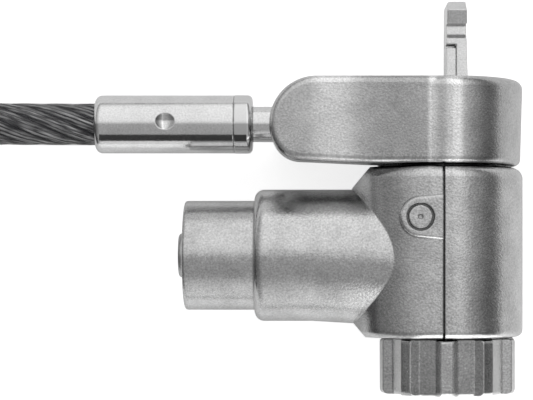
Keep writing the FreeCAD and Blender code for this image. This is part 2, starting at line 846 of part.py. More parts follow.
def make_thumb_wheel():
    """Wheel with ribs between wide flutes, and the seat of its screw underneath."""
    radius = size("wheel_radius")
    bore = size("shaft_tail_radius")
    tail = wheel_top - size("shaft_tail")
    recess = size("wheel_screw_head") + 4 * turning_fit
    wheel = turned("thumb_wheel", "Y", [
        (bore, wheel_top), (radius, wheel_top), (radius, wheel_bottom),
        (recess, wheel_bottom), (recess, tail), (bore, tail),
    ])

    def on_rim(level):
        return lambda edge: (near(edge.BoundBox.ZMax, level.value)
                             and edge.BoundBox.XLength > 2 * recess.value + OVERCUT)

    soften(wheel, "wheel_bottom_rim", size("wheel_bottom_round"), on_rim(wheel_bottom))
    soften(wheel, "wheel_top_rim", size("wheel_top_round"), on_rim(wheel_top))
    floor = radius - size("flute_depth")
    rim_half = size("flute_rim_width") / 2
    rim = root_of(radius * radius - rim_half * rim_half)
    floor_half = size("flute_floor_width") / 2
    flute = polygon_sketch(wheel, "wheel_flute", "XY_Plane", [
        (floor, -floor_half), (rim, -rim_half), (radius + OVERCUT, -rim_half),
        (radius + OVERCUT, rim_half), (rim, rim_half), (floor, floor_half),
    ])
    repeat_cut(wheel, "flute", flute, "flutes")

    def flute_foot(edge):
        middle = edge.CenterOfMass
        from_axis = math.hypot(middle.x, middle.y)
        return near(middle.z, wheel_bottom.value) and near(from_axis, floor.value)

    def rib_edge(edge):
        middle = edge.CenterOfMass
        from_axis = math.hypot(middle.x, middle.y)
        upright = edge.BoundBox.ZLength > size("wheel_height").value / 2
        return upright and near(from_axis, radius.value)

    soften(wheel, "flute_feet", size("flute_foot_round"), flute_foot)
    soften(wheel, "rib_edges", size("rib_edge_round"), rib_edge)
    turn = FreeCAD.Rotation(Vector(0, 0, 1), size("wheel_angle").value)
    wheel.Placement = FreeCAD.Placement(Vector(), TURNS["Y"].multiply(turn))
    sub_part(wheel, "thumb_wheel")


def make_wheel_screw():
    tail = wheel_top - size("shaft_tail")
    head_bottom = tail - size("wheel_screw_head_height")
    shank_top = tail + size("wheel_screw_length") - size("wheel_screw_play")
    head = size("wheel_screw_head")
    shank = size("wheel_screw_shank")
    screw = turned("wheel_screw_body", "Y", [
        (0, head_bottom), (head, head_bottom), (head, tail),
        (shank, tail), (shank, shank_top), (0, shank_top),
    ])
    half = shank / 2
    reach = size("screw_cross_reach")
    first = box("screw_cross_1", -reach, reach, head_bottom - OVERCUT, head_bottom + half,
                -half, half)
    second = box("screw_cross_2", -half, half, head_bottom - OVERCUT, head_bottom + half,
                 -reach, reach)
    cross = joined("screw_cross", [first, second])
    sub_part(cut("wheel_screw", screw, [cross]), "wheel_screw")


def tongue_left():
    return size("tongue_middle") - size("tongue_left_width")


def tongue_right():
    return size("tongue_middle") + size("tongue_right_width")


def hook_outline(foot):
    """The hook seen from its right side, as corners (y, z), down to a level."""
    front = size("tongue_half_depth")
    stem = size("tongue_stem_depth")
    lip_top = tongue_top - size("hook_nose_drop")
    lip_bottom = lip_top - size("hook_lip")
    notch_front = size("hook_notch_depth")
    notch_top = lip_bottom - size("hook_lip_slope")
    notch_bottom = notch_top - size("hook_notch_height")
    corners = [
        (foot, -front), (tongue_top - size("tongue_nose_cut"), -front),
        (tongue_top, -front + size("tongue_nose_cut")),
        (tongue_top, front - size("tongue_nose_slope")), (lip_top, front),
        (lip_bottom, front), (notch_top, notch_front), (notch_bottom, notch_front),
        (notch_bottom - size("hook_notch_blend"), stem), (foot, stem),
    ]
    return corners


def make_hook_blade():
    """Hook, full width above the guide bar and a narrow stem beside it."""
    split = size("tongue_middle") + size("blade_gap") / 2
    stem = plate("hook_stem", "X", hook_outline(-size("tongue_root")), split, tongue_right())
    head = plate("hook_head", "X", hook_outline(size("tongue_step")), tongue_left(),
                 tongue_right())
    blade = joined("hook_blade_solid", [stem, head])
    blade = rounded("hook_blade_round", blade, size("tongue_edge_round"), tongue_top_edge)
    right = tongue_right()
    depth = size("tongue_half_depth") + OVERCUT
    taper = plate("blade_taper", "Z", [
        (right, 0), (right + OVERCUT, 0), (right + OVERCUT, tongue_top + OVERCUT),
        (right - size("tongue_taper"), tongue_top + OVERCUT),
    ], -depth, depth)
    tools = [rivet_rod("blade_rivet_hole"), taper]
    sub_part(cut("hook_blade", blade, tools), "hook_blade")


def tongue_top_edge(edge):
    bounds = edge.BoundBox
    at_side = near(bounds.XMin, tongue_left().value) or near(bounds.XMin, tongue_right().value)
    at_top = near(bounds.YMin, tongue_top.value) and near(bounds.YLength, 0)
    return at_top and at_side and near(bounds.XLength, 0)


def make_guide_bar():
    """Flat bar that fills the slot's other half below the hook's step, lower at its front."""
    low_top = size("tongue_step") - size("guide_gap")
    top = size("tongue_step") - size("sliding_fit")
    front = size("tongue_half_depth")
    stem = size("tongue_stem_depth")
    groove_back = stem - size("guide_gap_depth")
    bar = plate("guide_bar_solid", "X", [
        (-size("tongue_root"), -front), (top, -front), (top, groove_back),
        (low_top, groove_back), (low_top, stem), (-size("tongue_root"), stem),
    ], tongue_left(), size("tongue_middle") - size("blade_gap") / 2)
    sub_part(cut("guide_bar", bar, [rivet_rod("bar_rivet_hole")]), "guide_bar")


def rivet_rod(name):
    half = size("rivet_half_length")
    middle = (size("tongue_stem_depth") - size("tongue_half_depth")) / 2
    return rod(name, "X", size("rivet_radius"), -half, half, (-size("rivet_drop"), middle))


def make_tongue_nut():
    """Round carriage on the screw, with the seat of the two blades in its top."""
    top = -size("nut_top")
    body = rod("nut_body", "Y", size("nut_radius"), top - size("nut_height"), top)
    seat = box("nut_seat", tongue_left(), tongue_right(), -size("tongue_root"), top + OVERCUT,
               -size("tongue_half_depth"), size("tongue_stem_depth"))
    bore = rod("nut_bore", "Y", size("thread_radius") + turning_fit,
               top - size("nut_height") - OVERCUT, -size("nut_bore_top"))
    hole = rivet_rod("nut_rivet_hole")
    sub_part(cut("tongue_nut", body, [seat, bore, hole]), "tongue_nut")


def make_tongue_rivet():
    sub_part(rivet_rod("tongue_rivet"), "tongue_rivet")


def latch_outer_end():
    return size("latch_inner") + size("latch_length")


def make_lock_cylinder():
    """Sleeve that holds the key core, with the travel pin's slot at its back."""
    radius = size("cylinder_radius")
    axis = (barrel_axis, 0)
    face_back = cylinder_front + size("cylinder_face")
    hole = size("core_boss_radius") + turning_fit
    shell = turned("lock_cylinder_body", "X", [
        (hole, cylinder_front), (radius, cylinder_front), (radius, cylinder_back),
        (shell_bore, cylinder_back), (shell_bore, face_back), (hole, face_back),
    ], axis)
    soften(shell, "lock_cylinder_rim", size("cylinder_round"),
           lambda edge: (near(edge.BoundBox.ZMax, cylinder_front.value)
                         and near(edge.BoundBox.XMax, radius.value)))
    pin_radius = size("travel_pin_radius")
    slot_right = travel_pin_place + pin_radius + turning_fit
    slot_left = slot_right - size("cylinder_push") - 2 * (pin_radius + turning_fit)
    width = pin_radius + turning_fit
    slot = box("travel_slot", slot_left, slot_right, barrel_axis - width, barrel_axis + width,
               -radius - OVERCUT, size("travel_slot_depth") - radius)
    latch_hole = rod("latch_hole", "Y", size("latch_radius") + turning_fit,
                     barrel_axis - radius - OVERCUT, barrel_axis, (latch_place, 0))
    sub_part(cut("lock_cylinder", shell, [slot, latch_hole]), "lock_cylinder")


def make_core_retainer():
    front = retainer_front()
    back = front + size("retainer_thickness")
    inner = size("retainer_bore")
    ring = turned("core_retainer", "X", [
        (inner, front), (shell_bore, front), (shell_bore, back), (inner, back),
    ], (barrel_axis, 0))
    sub_part(ring, "core_retainer")


def retainer_front():
    return cylinder_back - size("end_cap_thickness") - size("retainer_thickness")


def make_cylinder_end_cap():
    front = cylinder_back - size("end_cap_thickness")
    cap = rod("cylinder_end_cap", "X", shell_bore, front, cylinder_back, (barrel_axis, 0))
    sub_part(cap, "cylinder_end_cap")


def make_lock_bolt():
    half_height = size("bolt_height") / 2
    half_depth = size("bolt_thickness") / 2
    tip = -(size("gear_radius") + size("bolt_clearance"))
    bolt = box("lock_bolt", cylinder_back, tip, barrel_axis - half_height,
               barrel_axis + half_height, -half_depth, half_depth)
    sub_part(bolt, "lock_bolt")


def make_latch_bolt():
    outer = latch_outer_end()
    latch = rod("latch_bolt", "Y", size("latch_radius"), barrel_axis - outer,
                barrel_axis - size("latch_inner"), (latch_place, 0))
    sub_part(latch, "latch_bolt")


def keyway(name, start, end):
    half = size("keyway_width") / 2
    tall = size("keyway_height") / 2
    return box(name, start, end, barrel_axis - tall, barrel_axis + tall, -half, half)


def core_front_level():
    return cylinder_front + size("cylinder_face") + turning_fit


def disc_start():
    return core_front_level() + size("core_front")


def disc_pitch():
    return size("disc_thickness") + size("spacer_thickness")


def cam_front():
    return core_back() - size("cam_thickness")


def core_back():
    return retainer_front() - turning_fit


def make_key_core():
    """Carrier of the discs, with the round front that the key goes into."""
    boss_front = cylinder_front - size("core_boss_rise")
    boss = size("core_boss_radius")
    radius = size("core_radius")
    front = core_front_level()
    room = size("disc_radius")
    core = turned("key_core_body", "X", [
        (0, boss_front), (boss, boss_front), (boss, front), (radius, front),
        (radius, cam_front()), (room, cam_front()), (room, disc_start()), (0, disc_start()),
    ], (barrel_axis, 0))
    soften(core, "key_core_rim", size("core_boss_round"),
           lambda edge: near(edge.BoundBox.ZMax, boss_front.value) and edge.BoundBox.XLength > 1)
    way = keyway("core_keyway", boss_front - OVERCUT, disc_start() + OVERCUT)
    half = size("sidebar_width") / 2
    sidebar_slot = box("sidebar_slot", disc_start(), disc_end(),
                       barrel_axis + room - OVERCUT, barrel_axis + radius + OVERCUT, -half, half)
    sub_part(cut("key_core", core, [way, sidebar_slot]), "key_core")


def disc_end():
    count = size("disc_count")
    return disc_start() + count * size("disc_thickness") + (count - 1) * size("spacer_thickness")


def make_discs():
    """Slotted discs with a thin ring between each two."""
    discs = []
    spacers = []
    for index in range(round(size("disc_count").value)):
        start = disc_start() + index * disc_pitch()
        end = start + size("disc_thickness")
        solid = rod(f"disc_solid_{index + 1}", "X", size("disc_radius"), start, end,
                    (barrel_axis, 0))
        way = keyway(f"disc_keyway_{index + 1}", start - OVERCUT, end + OVERCUT)
        discs.append(cut(f"disc_{index + 1}", solid, [way]))
        if index:
            ring_start = start - size("spacer_thickness")
            ring = turned(f"spacer_{index}", "X", [
                (size("spacer_bore"), ring_start), (size("disc_radius"), ring_start),
                (size("disc_radius"), start), (size("spacer_bore"), start),
            ], (barrel_axis, 0))
            spacers.append(ring)
    sub_part(group("disc_tumblers", discs), "disc_tumblers")
    sub_part(group("disc_spacers", spacers), "disc_spacers")


def make_sidebar():
    half = size("sidebar_width") / 2
    top = barrel_axis + root_of(size("core_radius") * size("core_radius") - half * half)
    bar = box("sidebar", disc_start(), disc_end(), barrel_axis + size("disc_radius"), top,
              -half, half)
    sub_part(bar, "sidebar")


def make_core_cam():
    """Plug behind the discs, with the round tail that turns with the core."""
    plug_front = disc_end()
    room = size("disc_radius")
    radius = size("core_radius")
    cam = turned("core_cam", "X", [
        (0, plug_front), (room, plug_front), (room, cam_front()), (radius, cam_front()),
        (radius, core_back()), (0, core_back()),
    ], (barrel_axis, 0))
    sub_part(cam, "core_cam")


def soften_outer_rims(body, name, radius, rims):
    """Rounds the outer edges of a turned body at the given places along its axis."""
    for index, (along, round_size) in enumerate(rims, start=1):
        soften(body, f"{name}_rim_{index}", round_size,
               lambda edge: near(edge.BoundBox.XMax, radius.value)
               and near(edge.BoundBox.ZMin, along.value) and near(edge.BoundBox.ZLength, 0))


def make_ferrule():
    """Long tube crimped on the rope, and the bright ring at its head."""
    axis = (arm_axis, 0)
    left = -size("ferrule_reach")
    right = left + size("ferrule_length")
    step = left + size("ferrule_socket_depth")
    radius = size("ferrule_radius")
    bore = size("rope_radius")
    socket = size("cable_radius") + press_fit
    tube = turned("ferrule_body", "X", [
        (socket, left), (radius, left), (radius, right), (bore, right),
        (bore, step), (socket, step),
    ], axis)
    soften_outer_rims(tube, "ferrule", radius, [
        (left, size("ferrule_round")), (right, size("ferrule_joint_round")),
    ])
    ball_radius = size("dimple_ball")
    dimple = ball("dimple", ball_radius,
                  (-size("dimple_reach"), arm_axis + size("dimple_rise"),
                   radius + ball_radius - size("dimple_depth")))
    sub_part(cut("ferrule_tube", tube, [dimple]), "ferrule_tube")

    ring_radius = size("ring_radius")
    ring_end = right + size("ring_length")
    ring = turned("ferrule_ring", "X", [
        (bore, right), (ring_radius, right), (ring_radius, ring_end), (bore, ring_end),
    ], axis)
    soften_outer_rims(ring, "ring", ring_radius, [
        (right, size("ferrule_joint_round")), (ring_end, size("ring_round")),
    ])
    sub_part(ring, "ferrule_ring")

    rope_start = step
    rope = rod("rope_end", "X", bore, rope_start, rope_start + size("rope_inside"), axis)
    sub_part(rope, "rope_end")


def make_swivel_stud():
    """Round neck with a flat eye on the pivot pin and a shank in the ferrule."""
    pivot = -size("pivot_reach")
    ring_end = size("ferrule_length") + size("ring_length") - size("ferrule_reach")
    half = size("stud_eye_half")
    shank_start = ring_end - size("stud_shank_length")
    shank = rod("stud_shank", "X", size("rope_radius"), shank_start, ring_end, (arm_axis, 0))
    neck = rod("stud_neck", "X", size("stud_neck_radius"), ring_end, pivot, (arm_axis, 0))
    eye = rod("stud_eye", "Z", size("stud_eye_radius"), -half, half, (pivot, arm_axis))
    solid = joined("swivel_stud_solid", [shank, neck, eye])
    bore = rod("stud_bore", "Z", size("pivot_pin_radius") + turning_fit,
               -half - OVERCUT, half + OVERCUT, (pivot, arm_axis))
    sub_part(cut("swivel_stud", solid, [bore]), "swivel_stud")


def straight_or_arc(start, corner, end):
    """The arc that leaves start and reaches end along the two lines through the corner."""
    middle = (start + end) / 2
    height = (corner - middle).Length
    if height < 1e-6:
        return Part.LineSegment(start, end).toShape()
    slope = math.atan2(height, (end - start).Length / 2)
    crown = middle + (corner - middle) * (math.tan(slope / 2) / math.tan(slope))
    return Part.Arc(start, crown, end).toShape()


def biarc(start, start_way, end, end_way):
    """Two arcs that meet smoothly, with the given directions at the ends."""
    chord = end - start
    spread = 2 * (1 - start_way.dot(end_way))
    slant = chord.dot(start_way + end_way)
    if abs(spread) < 1e-9:
        reach = chord.dot(chord) / (2 * slant)
    else:
        reach = (math.sqrt(slant * slant + spread * chord.dot(chord)) - slant) / spread
    near_corner = start + start_way * reach
    far_corner = end - end_way * reach
    meeting = (near_corner + far_corner) / 2
    return [
        straight_or_arc(start, near_corner, meeting),
        straight_or_arc(meeting, far_corner, end),
    ]


def tube_along(edges, radius, start, way):
    """A round tube swept along joined edges."""
    path = Part.Wire(edges)
    section = Part.Wire([Part.Circle(start, way, radius).toShape()])
    return path.makePipeShell([section], True, False)


def rounded_route(points):
    """Straight runs joined by arcs that take a share of the shorter run, and the arcs' radii."""
    edges = []
    radii = []
    reached = points[0]
    for before, corner, after in zip(points, points[1:], points[2:]):
        way_in = (corner - before).normalize()
        way_out = (after - corner).normalize()
        half_turn = way_in.getAngle(way_out) / 2
        setback = CORNER_SHARE * min((corner - before).Length, (after - corner).Length)
        radii.append(setback / math.tan(half_turn))
        arc_start = corner - way_in * setback
        arc_end = corner + way_out * setback
        edges.append(Part.LineSegment(reached, arc_start).toShape())
        edges.append(straight_or_arc(arc_start, corner, arc_end))
        reached = arc_end
    edges.append(Part.LineSegment(reached, points[-1]).toShape())
    return edges, radii


def wound(name, shape):
    """A piece that only Part's own functions make."""
    item = document.addObject("Part::Feature", name)
    item.Shape = shape
    return item


def report_tube(name, edges, radius, shape):
    length = sum(edge.Length for edge in edges)
    expected = math.pi * radius * radius * length
    print(f"{name}: length {length:.1f} mm, volume {shape.Volume:.1f} of {expected:.1f} mm3")


# The share of the shorter run that a route's corner takes, and the turns that a coil takes
# to cross from one layer to the next.
CORNER_SHARE = 0.45
CROSSING_TURNS = 0.5

# The free cable: route points of the lead beside the lock, then the coil behind it.
LEAD_ROUTE = [
    (-38.95, -5.0, 0.0),
    (-59.5, -5.0, 0.0),
    (-79.0, -5.0, 11.05),
    (-95.0, -5.0, 11.05),
]
COIL_CENTRE = (-100.0, -39.4)
COIL_START_ANGLE = 90.0
COIL_LAYERS = 4


def make_cable_lead():
    points = [Vector(*point) for point in LEAD_ROUTE]
    edges, radii = rounded_route(points)
    radius = size("cable_radius").value
    tube = tube_along(edges, radius, points[0], points[1] - points[0])
    print("cable_lead radii", [round(number, 1) for number in radii])
    report_tube("cable_lead", edges, radius, tube)
    sub_part(wound("cable_lead", tube), "cable_lead")


def coil_point(turn):
    """A point of the coil's centre line, after so many turns."""
    layer_turns = size("coil_turns").value / COIL_LAYERS
    phase = turn / layer_turns
    swing = phase % 2
    share = swing if swing < 1 else 2 - swing
    outer = size("coil_outer").value
    radius = outer - (outer - size("coil_inner").value) * share
    pitch = size("coil_layer_pitch").value
    top = size("coil_bottom").value + (COIL_LAYERS - 1) * pitch - body_radius.value
    dropped = sum(
        min(max((turn - count * layer_turns) / CROSSING_TURNS + 0.5, 0), 1)
        for count in range(1, COIL_LAYERS)
    )
    angle = math.radians(COIL_START_ANGLE) + 2 * math.pi * turn
    return Vector(
        COIL_CENTRE[0] + radius * math.cos(angle),
        COIL_CENTRE[1] + radius * math.sin(angle),
        top - dropped * pitch,
    )


def coil_way(turn):
    """The coil's direction, level at its two ends."""
    step = 0.01
    total = size("coil_turns").value
    before = coil_point(max(turn - step, 0))
    after = coil_point(min(turn + step, total))
    way = after - before
    return way.normalize()


def coil_end_ways():
    """Straight directions of the coil's two ends, square to its radius there."""
    ways = []
    for turn in (0, size("coil_turns").value):
        angle = math.radians(COIL_START_ANGLE) + 2 * math.pi * turn
        ways.append(Vector(-math.sin(angle), math.cos(angle), 0))
    return ways


def coil_run_out():
    """The straight length at each end of the coil, one cable diameter."""
    return 2 * size("cable_radius").value


def make_cable_coil():
    """One unbroken tube: four layers that spiral in and out, with straight ends."""
    total = size("coil_turns").value
    steps = round(total * 4)
    turns = [total * index / steps for index in range(steps + 1)]
    first_way, last_way = coil_end_ways()
    ways = [first_way] + [coil_way(turn) for turn in turns[1:-1]] + [last_way]
    points = [coil_point(turn) for turn in turns]
    start = points[0] - first_way * coil_run_out()
    end = points[-1] + last_way * coil_run_out()
    edges = [Part.LineSegment(start, points[0]).toShape()]
    for index in range(steps):
        edges += biarc(points[index], ways[index], points[index + 1], ways[index + 1])
    edges.append(Part.LineSegment(points[-1], end).toShape())
    radius = size("cable_radius").value
    tube = tube_along(edges, radius, start, first_way)
    report_tube("cable_coil", edges, radius, tube)
    print(f"cable_coil least gap to itself {least_gap(edges, 2 * radius):.2f} mm")
    sub_part(wound("cable_coil", tube), "cable_coil")


def least_gap(edges, diameter):
    """The least space between two turns, measured on points of the centre line."""
    samples = []
    travelled = 0
    for edge in edges:
        count = max(2, round(edge.Length / 2))
        points = edge.discretize(count)
        for index, point in enumerate(points):
            samples.append((travelled + edge.Length * index / (count - 1), point))
        travelled += edge.Length
    apart = 4 * diameter
    nearest = min(
        first[1].distanceToPoint(second[1])
        for index, first in enumerate(samples)
        for second in samples[index + 1:]
        if second[0] - first[0] > apart
    )
    return nearest - diameter


def far_end_frame():
    """The middle of the sleeve's near face, the cable's direction there and its left side."""
    way = coil_end_ways()[1]
    side = Vector(-way.y, way.x, 0)
    spot = coil_point(size("coil_turns").value) + way * coil_run_out()
    return spot - side * size("strand_offset").value, way, side


def make_end_sleeve():
    """Flattened sleeve pressed over the cable and the returning strand of the eye."""
    spot, way, side = far_end_frame()
    half = size("sleeve_half_width").value
    radius = size("sleeve_radius").value
    length = size("sleeve_length").value
    straight = half - radius
    corners = [spot + side * straight, spot - side * straight]
    up = Vector(0, 0, radius)
    edges = [
        Part.LineSegment(corners[0] + up, corners[1] + up).toShape(),
        Part.Arc(corners[1] + up, corners[1] - side * radius, corners[1] - up).toShape(),
        Part.LineSegment(corners[1] - up, corners[0] - up).toShape(),
        Part.Arc(corners[0] - up, corners[0] + side * radius, corners[0] + up).toShape(),
    ]
    block = Part.Face(Part.Wire(edges)).extrude(way * length)
    rims = [edge for edge in block.Edges
            if abs((edge.CenterOfMass - spot).dot(way) % length) < 0.01
            or abs((edge.CenterOfMass - spot).dot(way) - length) < 0.01]
    sleeve = block.makeFillet(size("sleeve_rim_round").value, rims)
    sub_part(wound("end_sleeve", sleeve), "end_sleeve")


# The eye seen from above: how far ahead of the sleeve its two strands part, and then the
# corners (ahead, to the left) of half the loop.
EYE_PARTING = 8.0
EYE_ROUTE = [(26.0, 13.5), (52.0, 15.5), (63.0, 6.5)]


def make_end_eye():
    """Loop that goes round a desk leg, with both strands ending on the sleeve."""
    spot, way, side = far_end_frame()
    foot = spot + way * size("sleeve_length").value
    apart = size("strand_offset").value
    route = [(0.0, apart), (EYE_PARTING, apart)] + EYE_ROUTE
    outward = [foot + way * ahead + side * left for ahead, left in route]
    inward = [foot + way * ahead - side * left for ahead, left in reversed(route)]
    edges, radii = rounded_route(outward + inward)
    radius = size("cable_radius").value
    tube = tube_along(edges, radius, outward[0], way)
    print("end_eye radii", [round(number, 1) for number in radii])
    report_tube("end_eye", edges, radius, tube)
    sub_part(wound("end_eye", tube), "end_eye")


def make_coil_tie():
    """Flat strap round all the turns at one place of the coil."""
    outer = size("coil_outer") + size("cable_radius") + size("tie_gap")
    sagitta = size("tie_width") * size("tie_width") / (8 * size("coil_inner"))
    inner = size("coil_inner") - size("cable_radius") - sagitta - size("tie_inner_room")
    floor = size("coil_bottom") - body_radius - size("cable_radius") - size("tie_gap")
    opening_height = ((COIL_LAYERS - 1) * size("coil_layer_pitch") + 2 * size("cable_radius")
                      + 2 * size("tie_gap"))
    top = floor + opening_height
    wall = size("tie_thickness")
    half = size("tie_width") / 2
    outside = box("tie_outside", inner - wall, outer + wall, -half, half, floor - wall,
                  top + wall)
    outside = rounded("tie_round", outside, wall * 2,
                      lambda edge: edge.BoundBox.YLength > size("tie_width").value / 2)
    opening = box("tie_opening", inner, outer, -half - OVERCUT, half + OVERCUT, floor, top)
    strap = cut("coil_tie", outside, [opening])
    turn = FreeCAD.Rotation(Vector(0, 0, 1), size("tie_angle").value)
    place(strap, (COIL_CENTRE[0], COIL_CENTRE[1], 0), turn)
    sub_part(strap, "coil_tie")


def make_cylinder_spring():
    """Wire spring between the lock cylinder's back and the end of the barrel's bore."""
    wire = size("spring_wire").value
    mean = size("spring_radius").value
    start = cylinder_back.value + wire / 2
    room_end = barrel_bore_end.value
    length = room_end - wire / 2 - start
    turns = size("spring_turns").value

    def point(turn):
        angle = 2 * math.pi * turn
        return Vector(start + length * turn / turns,
                      barrel_axis.value + mean * math.cos(angle), mean * math.sin(angle))

    def way(turn):
        angle = 2 * math.pi * turn
        rise = length / turns / (2 * math.pi)
        return Vector(rise, -mean * math.sin(angle), mean * math.cos(angle)).normalize()

    quarter_turns = [index / 4 for index in range(round(turns * 4) + 1)]
    edges = []
    for before, after in zip(quarter_turns, quarter_turns[1:]):
        edges += biarc(point(before), way(before), point(after), way(after))
    tube = tube_along(edges, wire / 2, point(0), way(0))
    report_tube("cylinder_spring", edges, wire / 2, tube)
    sub_part(wound("cylinder_spring", tube), "cylinder_spring")


make_cable_lead()
make_cable_coil()
make_end_sleeve()
make_end_eye()
make_coil_tie()
make_ferrule()
make_swivel_stud()
make_collar_arm()
make_pivot_pin()
make_swivel_washer()
make_main_housing()
make_housing_cover()
make_neck_sleeve()
make_neck_pin()
make_cover_dowels()
make_travel_pin()
make_cylinder_spring()
make_spindle_bush()
make_drive_screw()
make_lock_gear()
make_thumb_wheel()
make_wheel_screw()
make_hook_blade()
make_guide_bar()
make_tongue_nut()
make_tongue_rivet()
make_lock_cylinder()
make_core_retainer()
make_cylinder_end_cap()
make_lock_bolt()
make_latch_bolt()
make_key_core()
make_discs()
make_sidebar()
make_core_cam()
document.recompute()

for item in document.Objects:
    if "Invalid" in item.State or "Error" in item.State:
        raise RuntimeError(f"{item.Name} did not build: {item.State}")
for name, item in sub_parts.items():
    if item.Shape.isNull() or not item.Shape.isValid():
        raise RuntimeError(f"{name} has no valid shape")

os.makedirs("parts", exist_ok=True)
for name, item in sub_parts.items():
    item.Shape.exportStep(f"parts/{name}.step")
    bounds = item.Shape.BoundBox
    print(f"{name}: {len(item.Shape.Solids)} solids, {item.Shape.Volume:.1f} mm3, "
          f"x {bounds.XMin:.2f} {bounds.XMax:.2f}, y {bounds.YMin:.2f} {bounds.YMax:.2f}, "
          f"z {bounds.ZMin:.2f} {bounds.ZMax:.2f}")
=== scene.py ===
import math

import bmesh
import bpy
from mathutils import Matrix, Vector


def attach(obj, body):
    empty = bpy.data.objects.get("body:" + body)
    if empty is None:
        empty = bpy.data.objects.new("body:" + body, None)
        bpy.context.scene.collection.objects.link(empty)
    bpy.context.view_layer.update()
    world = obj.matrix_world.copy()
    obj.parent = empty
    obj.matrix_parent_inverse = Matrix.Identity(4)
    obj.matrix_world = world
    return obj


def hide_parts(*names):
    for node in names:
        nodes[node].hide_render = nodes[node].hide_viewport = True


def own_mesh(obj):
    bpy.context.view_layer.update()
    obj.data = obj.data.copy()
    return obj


# Looks of a laptop cable lock, in metres. The lock lies on its back on the floor (z 0),
# the laptop's side is +Y and the viewer looks straight down on the lock's front.

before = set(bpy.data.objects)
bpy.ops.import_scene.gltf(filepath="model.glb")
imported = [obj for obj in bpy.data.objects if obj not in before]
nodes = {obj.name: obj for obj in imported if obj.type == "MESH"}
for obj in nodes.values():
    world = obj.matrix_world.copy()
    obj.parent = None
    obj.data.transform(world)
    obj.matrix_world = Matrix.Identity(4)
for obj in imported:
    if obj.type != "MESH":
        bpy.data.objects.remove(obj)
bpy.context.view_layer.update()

# The point on the spindle's axis in the collar's upper face. Places are given from it, but
# the levels of the coil, the strap and the strip lamp are given from the floor.
SPINDLE = Vector((0.0163, 0.013655, 0.00885))
MM_PER_METRE = 1000
QUARTER_TURN = 90
WHITE = (1, 1, 1)

# The photograph's frame, its scale at the spindle's level, and the camera's foot.
IMAGE_WIDTH = 533
IMAGE_HEIGHT = 400
PIXELS_PER_METRE = 8470
SPINDLE_PIXEL_X = 447.2
FOOT_PIXEL_Y = 258
FOOT_X = -0.015
FOOT_Y = -0.02077
CAMERA_DISTANCE = 0.21
SENSOR_WIDTH = 36.0
CLIP_START = 0.005

# The cable: its route to the coil, the coil, and the loop behind the end sleeve, whose route
# is given as (ahead of the sleeve, to its left).
CABLE_RADIUS = 0.0025
LEAD_ROUTE = [
    (-0.03895, -0.005, 0.0),
    (-0.0595, -0.005, 0.0),
    (-0.079, -0.005, 0.01105),
    (-0.095, -0.005, 0.01105),
]
COIL_CENTRE = (-0.1, -0.0394)
COIL_START_ANGLE = math.radians(90)
COIL_LAYERS = 4
COIL_TURNS = 10.517
COIL_OUTER = 0.0344
COIL_INNER = 0.0199
COIL_LAYER_PITCH = 0.0055
COIL_BOTTOM = 0.0034
LAYER_DROP_TURNS = 0.5
POINTS_PER_TURN = 24
STRAND_OFFSET = 0.0026
SLEEVE_LENGTH = 0.018
EYE_ROUTE = [(0.026, 0.0135), (0.052, 0.0155), (0.063, 0.0065)]
EYE_PARTING = 0.008
CURVE_ORDER = 3
CORD_SEGMENTS_PER_SPAN = 16
CORD_BEVEL_SEGMENTS = 6

# The steel rope under the cable's coat. WIRE_GROOVE runs from a wire's middle to its groove
# and GAP_EDGE from a gap to the strand beside it, as shares of a wire and a strand.
ROPE_RADIUS = 0.00244
ROPE_STEP = 0.0008
ROPE_STEPS_AROUND = 64
STRANDS = 8
STRAND_LAY = 0.0296
STRAND_RELIEF = 0.11
WIRES_PER_STRAND = 4
WIRE_SKEW = 0.25
ROPE_METALLIC = 0.85
ROPE_ROUGHNESS = 0.34
# Painted shade: tones in the grooves between wires and in the gaps between strands.
WIRE_GROOVE_SHADE = 0.15
WIRE_GROOVE = (0.2, 0.5)
GAP_SHADE = 0.03
GAP_EDGE = (0.02, 0.17)
WEAR_SCALE = (0.45, 1.6, 1.0)
WEAR_TONES = (0.1, 0.95)
WEAR_NOISE = (0.38, 0.68)
ROPE_BUMP = 0.00012

# The cable's coat.
JACKET_COLOUR = (0.10, 0.10, 0.11, 1)
JACKET_ALPHA = 0.3
JACKET_NOISE_SCALE = 900.0
JACKET_ROUGHNESS = (0.12, 0.24)

# The strap round the coil. TIE_INNER and TIE_OUTER are distances from the coil's axis.
TIE_ANGLE = math.radians(200)
TIE_WIDTH = 0.01
TIE_THICKNESS = 0.00062
TIE_INNER = 0.01627
TIE_OUTER = 0.037
TIE_FLOOR = 0.0008
TIE_TOP = 0.0225
TIE_CORNER = 0.0024
TIE_CORNER_STEPS = 8
TIE_EDGE_FLAT = 0.97
TIE_EDGE_LOW = 0.3
TIE_EDGE_HIGH = 0.7
FLAP_LEAN = 0.0004
FLAP_HALF_SHARE = 0.46
WEAVE_SCALE = 900.0
WEAVE_TONES = (0.015, 0.05)
WEAVE_ROUGHNESS = 0.85
WEAVE_BUMP = 0.0001
WEAVE_BUMP_STRENGTH = 0.6

# The hook's lip: the level of its lower edge, half the hook's depth, and the slope's fall.
LIP_BOTTOM = 0.0066
HOOK_FRONT = 0.0033
LIP_FALL = 0.0004
LIP_SEARCH = 0.00012

# Metals: painted shade in crevices, worn edges, and the grain with a broader mottle under it.
CREVICE_REACH = 0.0005
CREVICE_SHADE = 0.07
CREVICE_OPENNESS = (0.3, 0.7)
CREVICE_SAMPLES = 8
EDGE_WEAR = 0.0002
EDGE_SAMPLES = 6
GRAIN_DETAIL = 3.0
BROAD_SCALE = 0.08
BROAD_DETAIL = 2.0
BROAD_SHARE = 0.35
GLOSS_SPREAD = 0.15
NOISE_LOW = 0.3
NOISE_HIGH = 0.7
BRASS_TINT = (1.2, 1, 0.53)

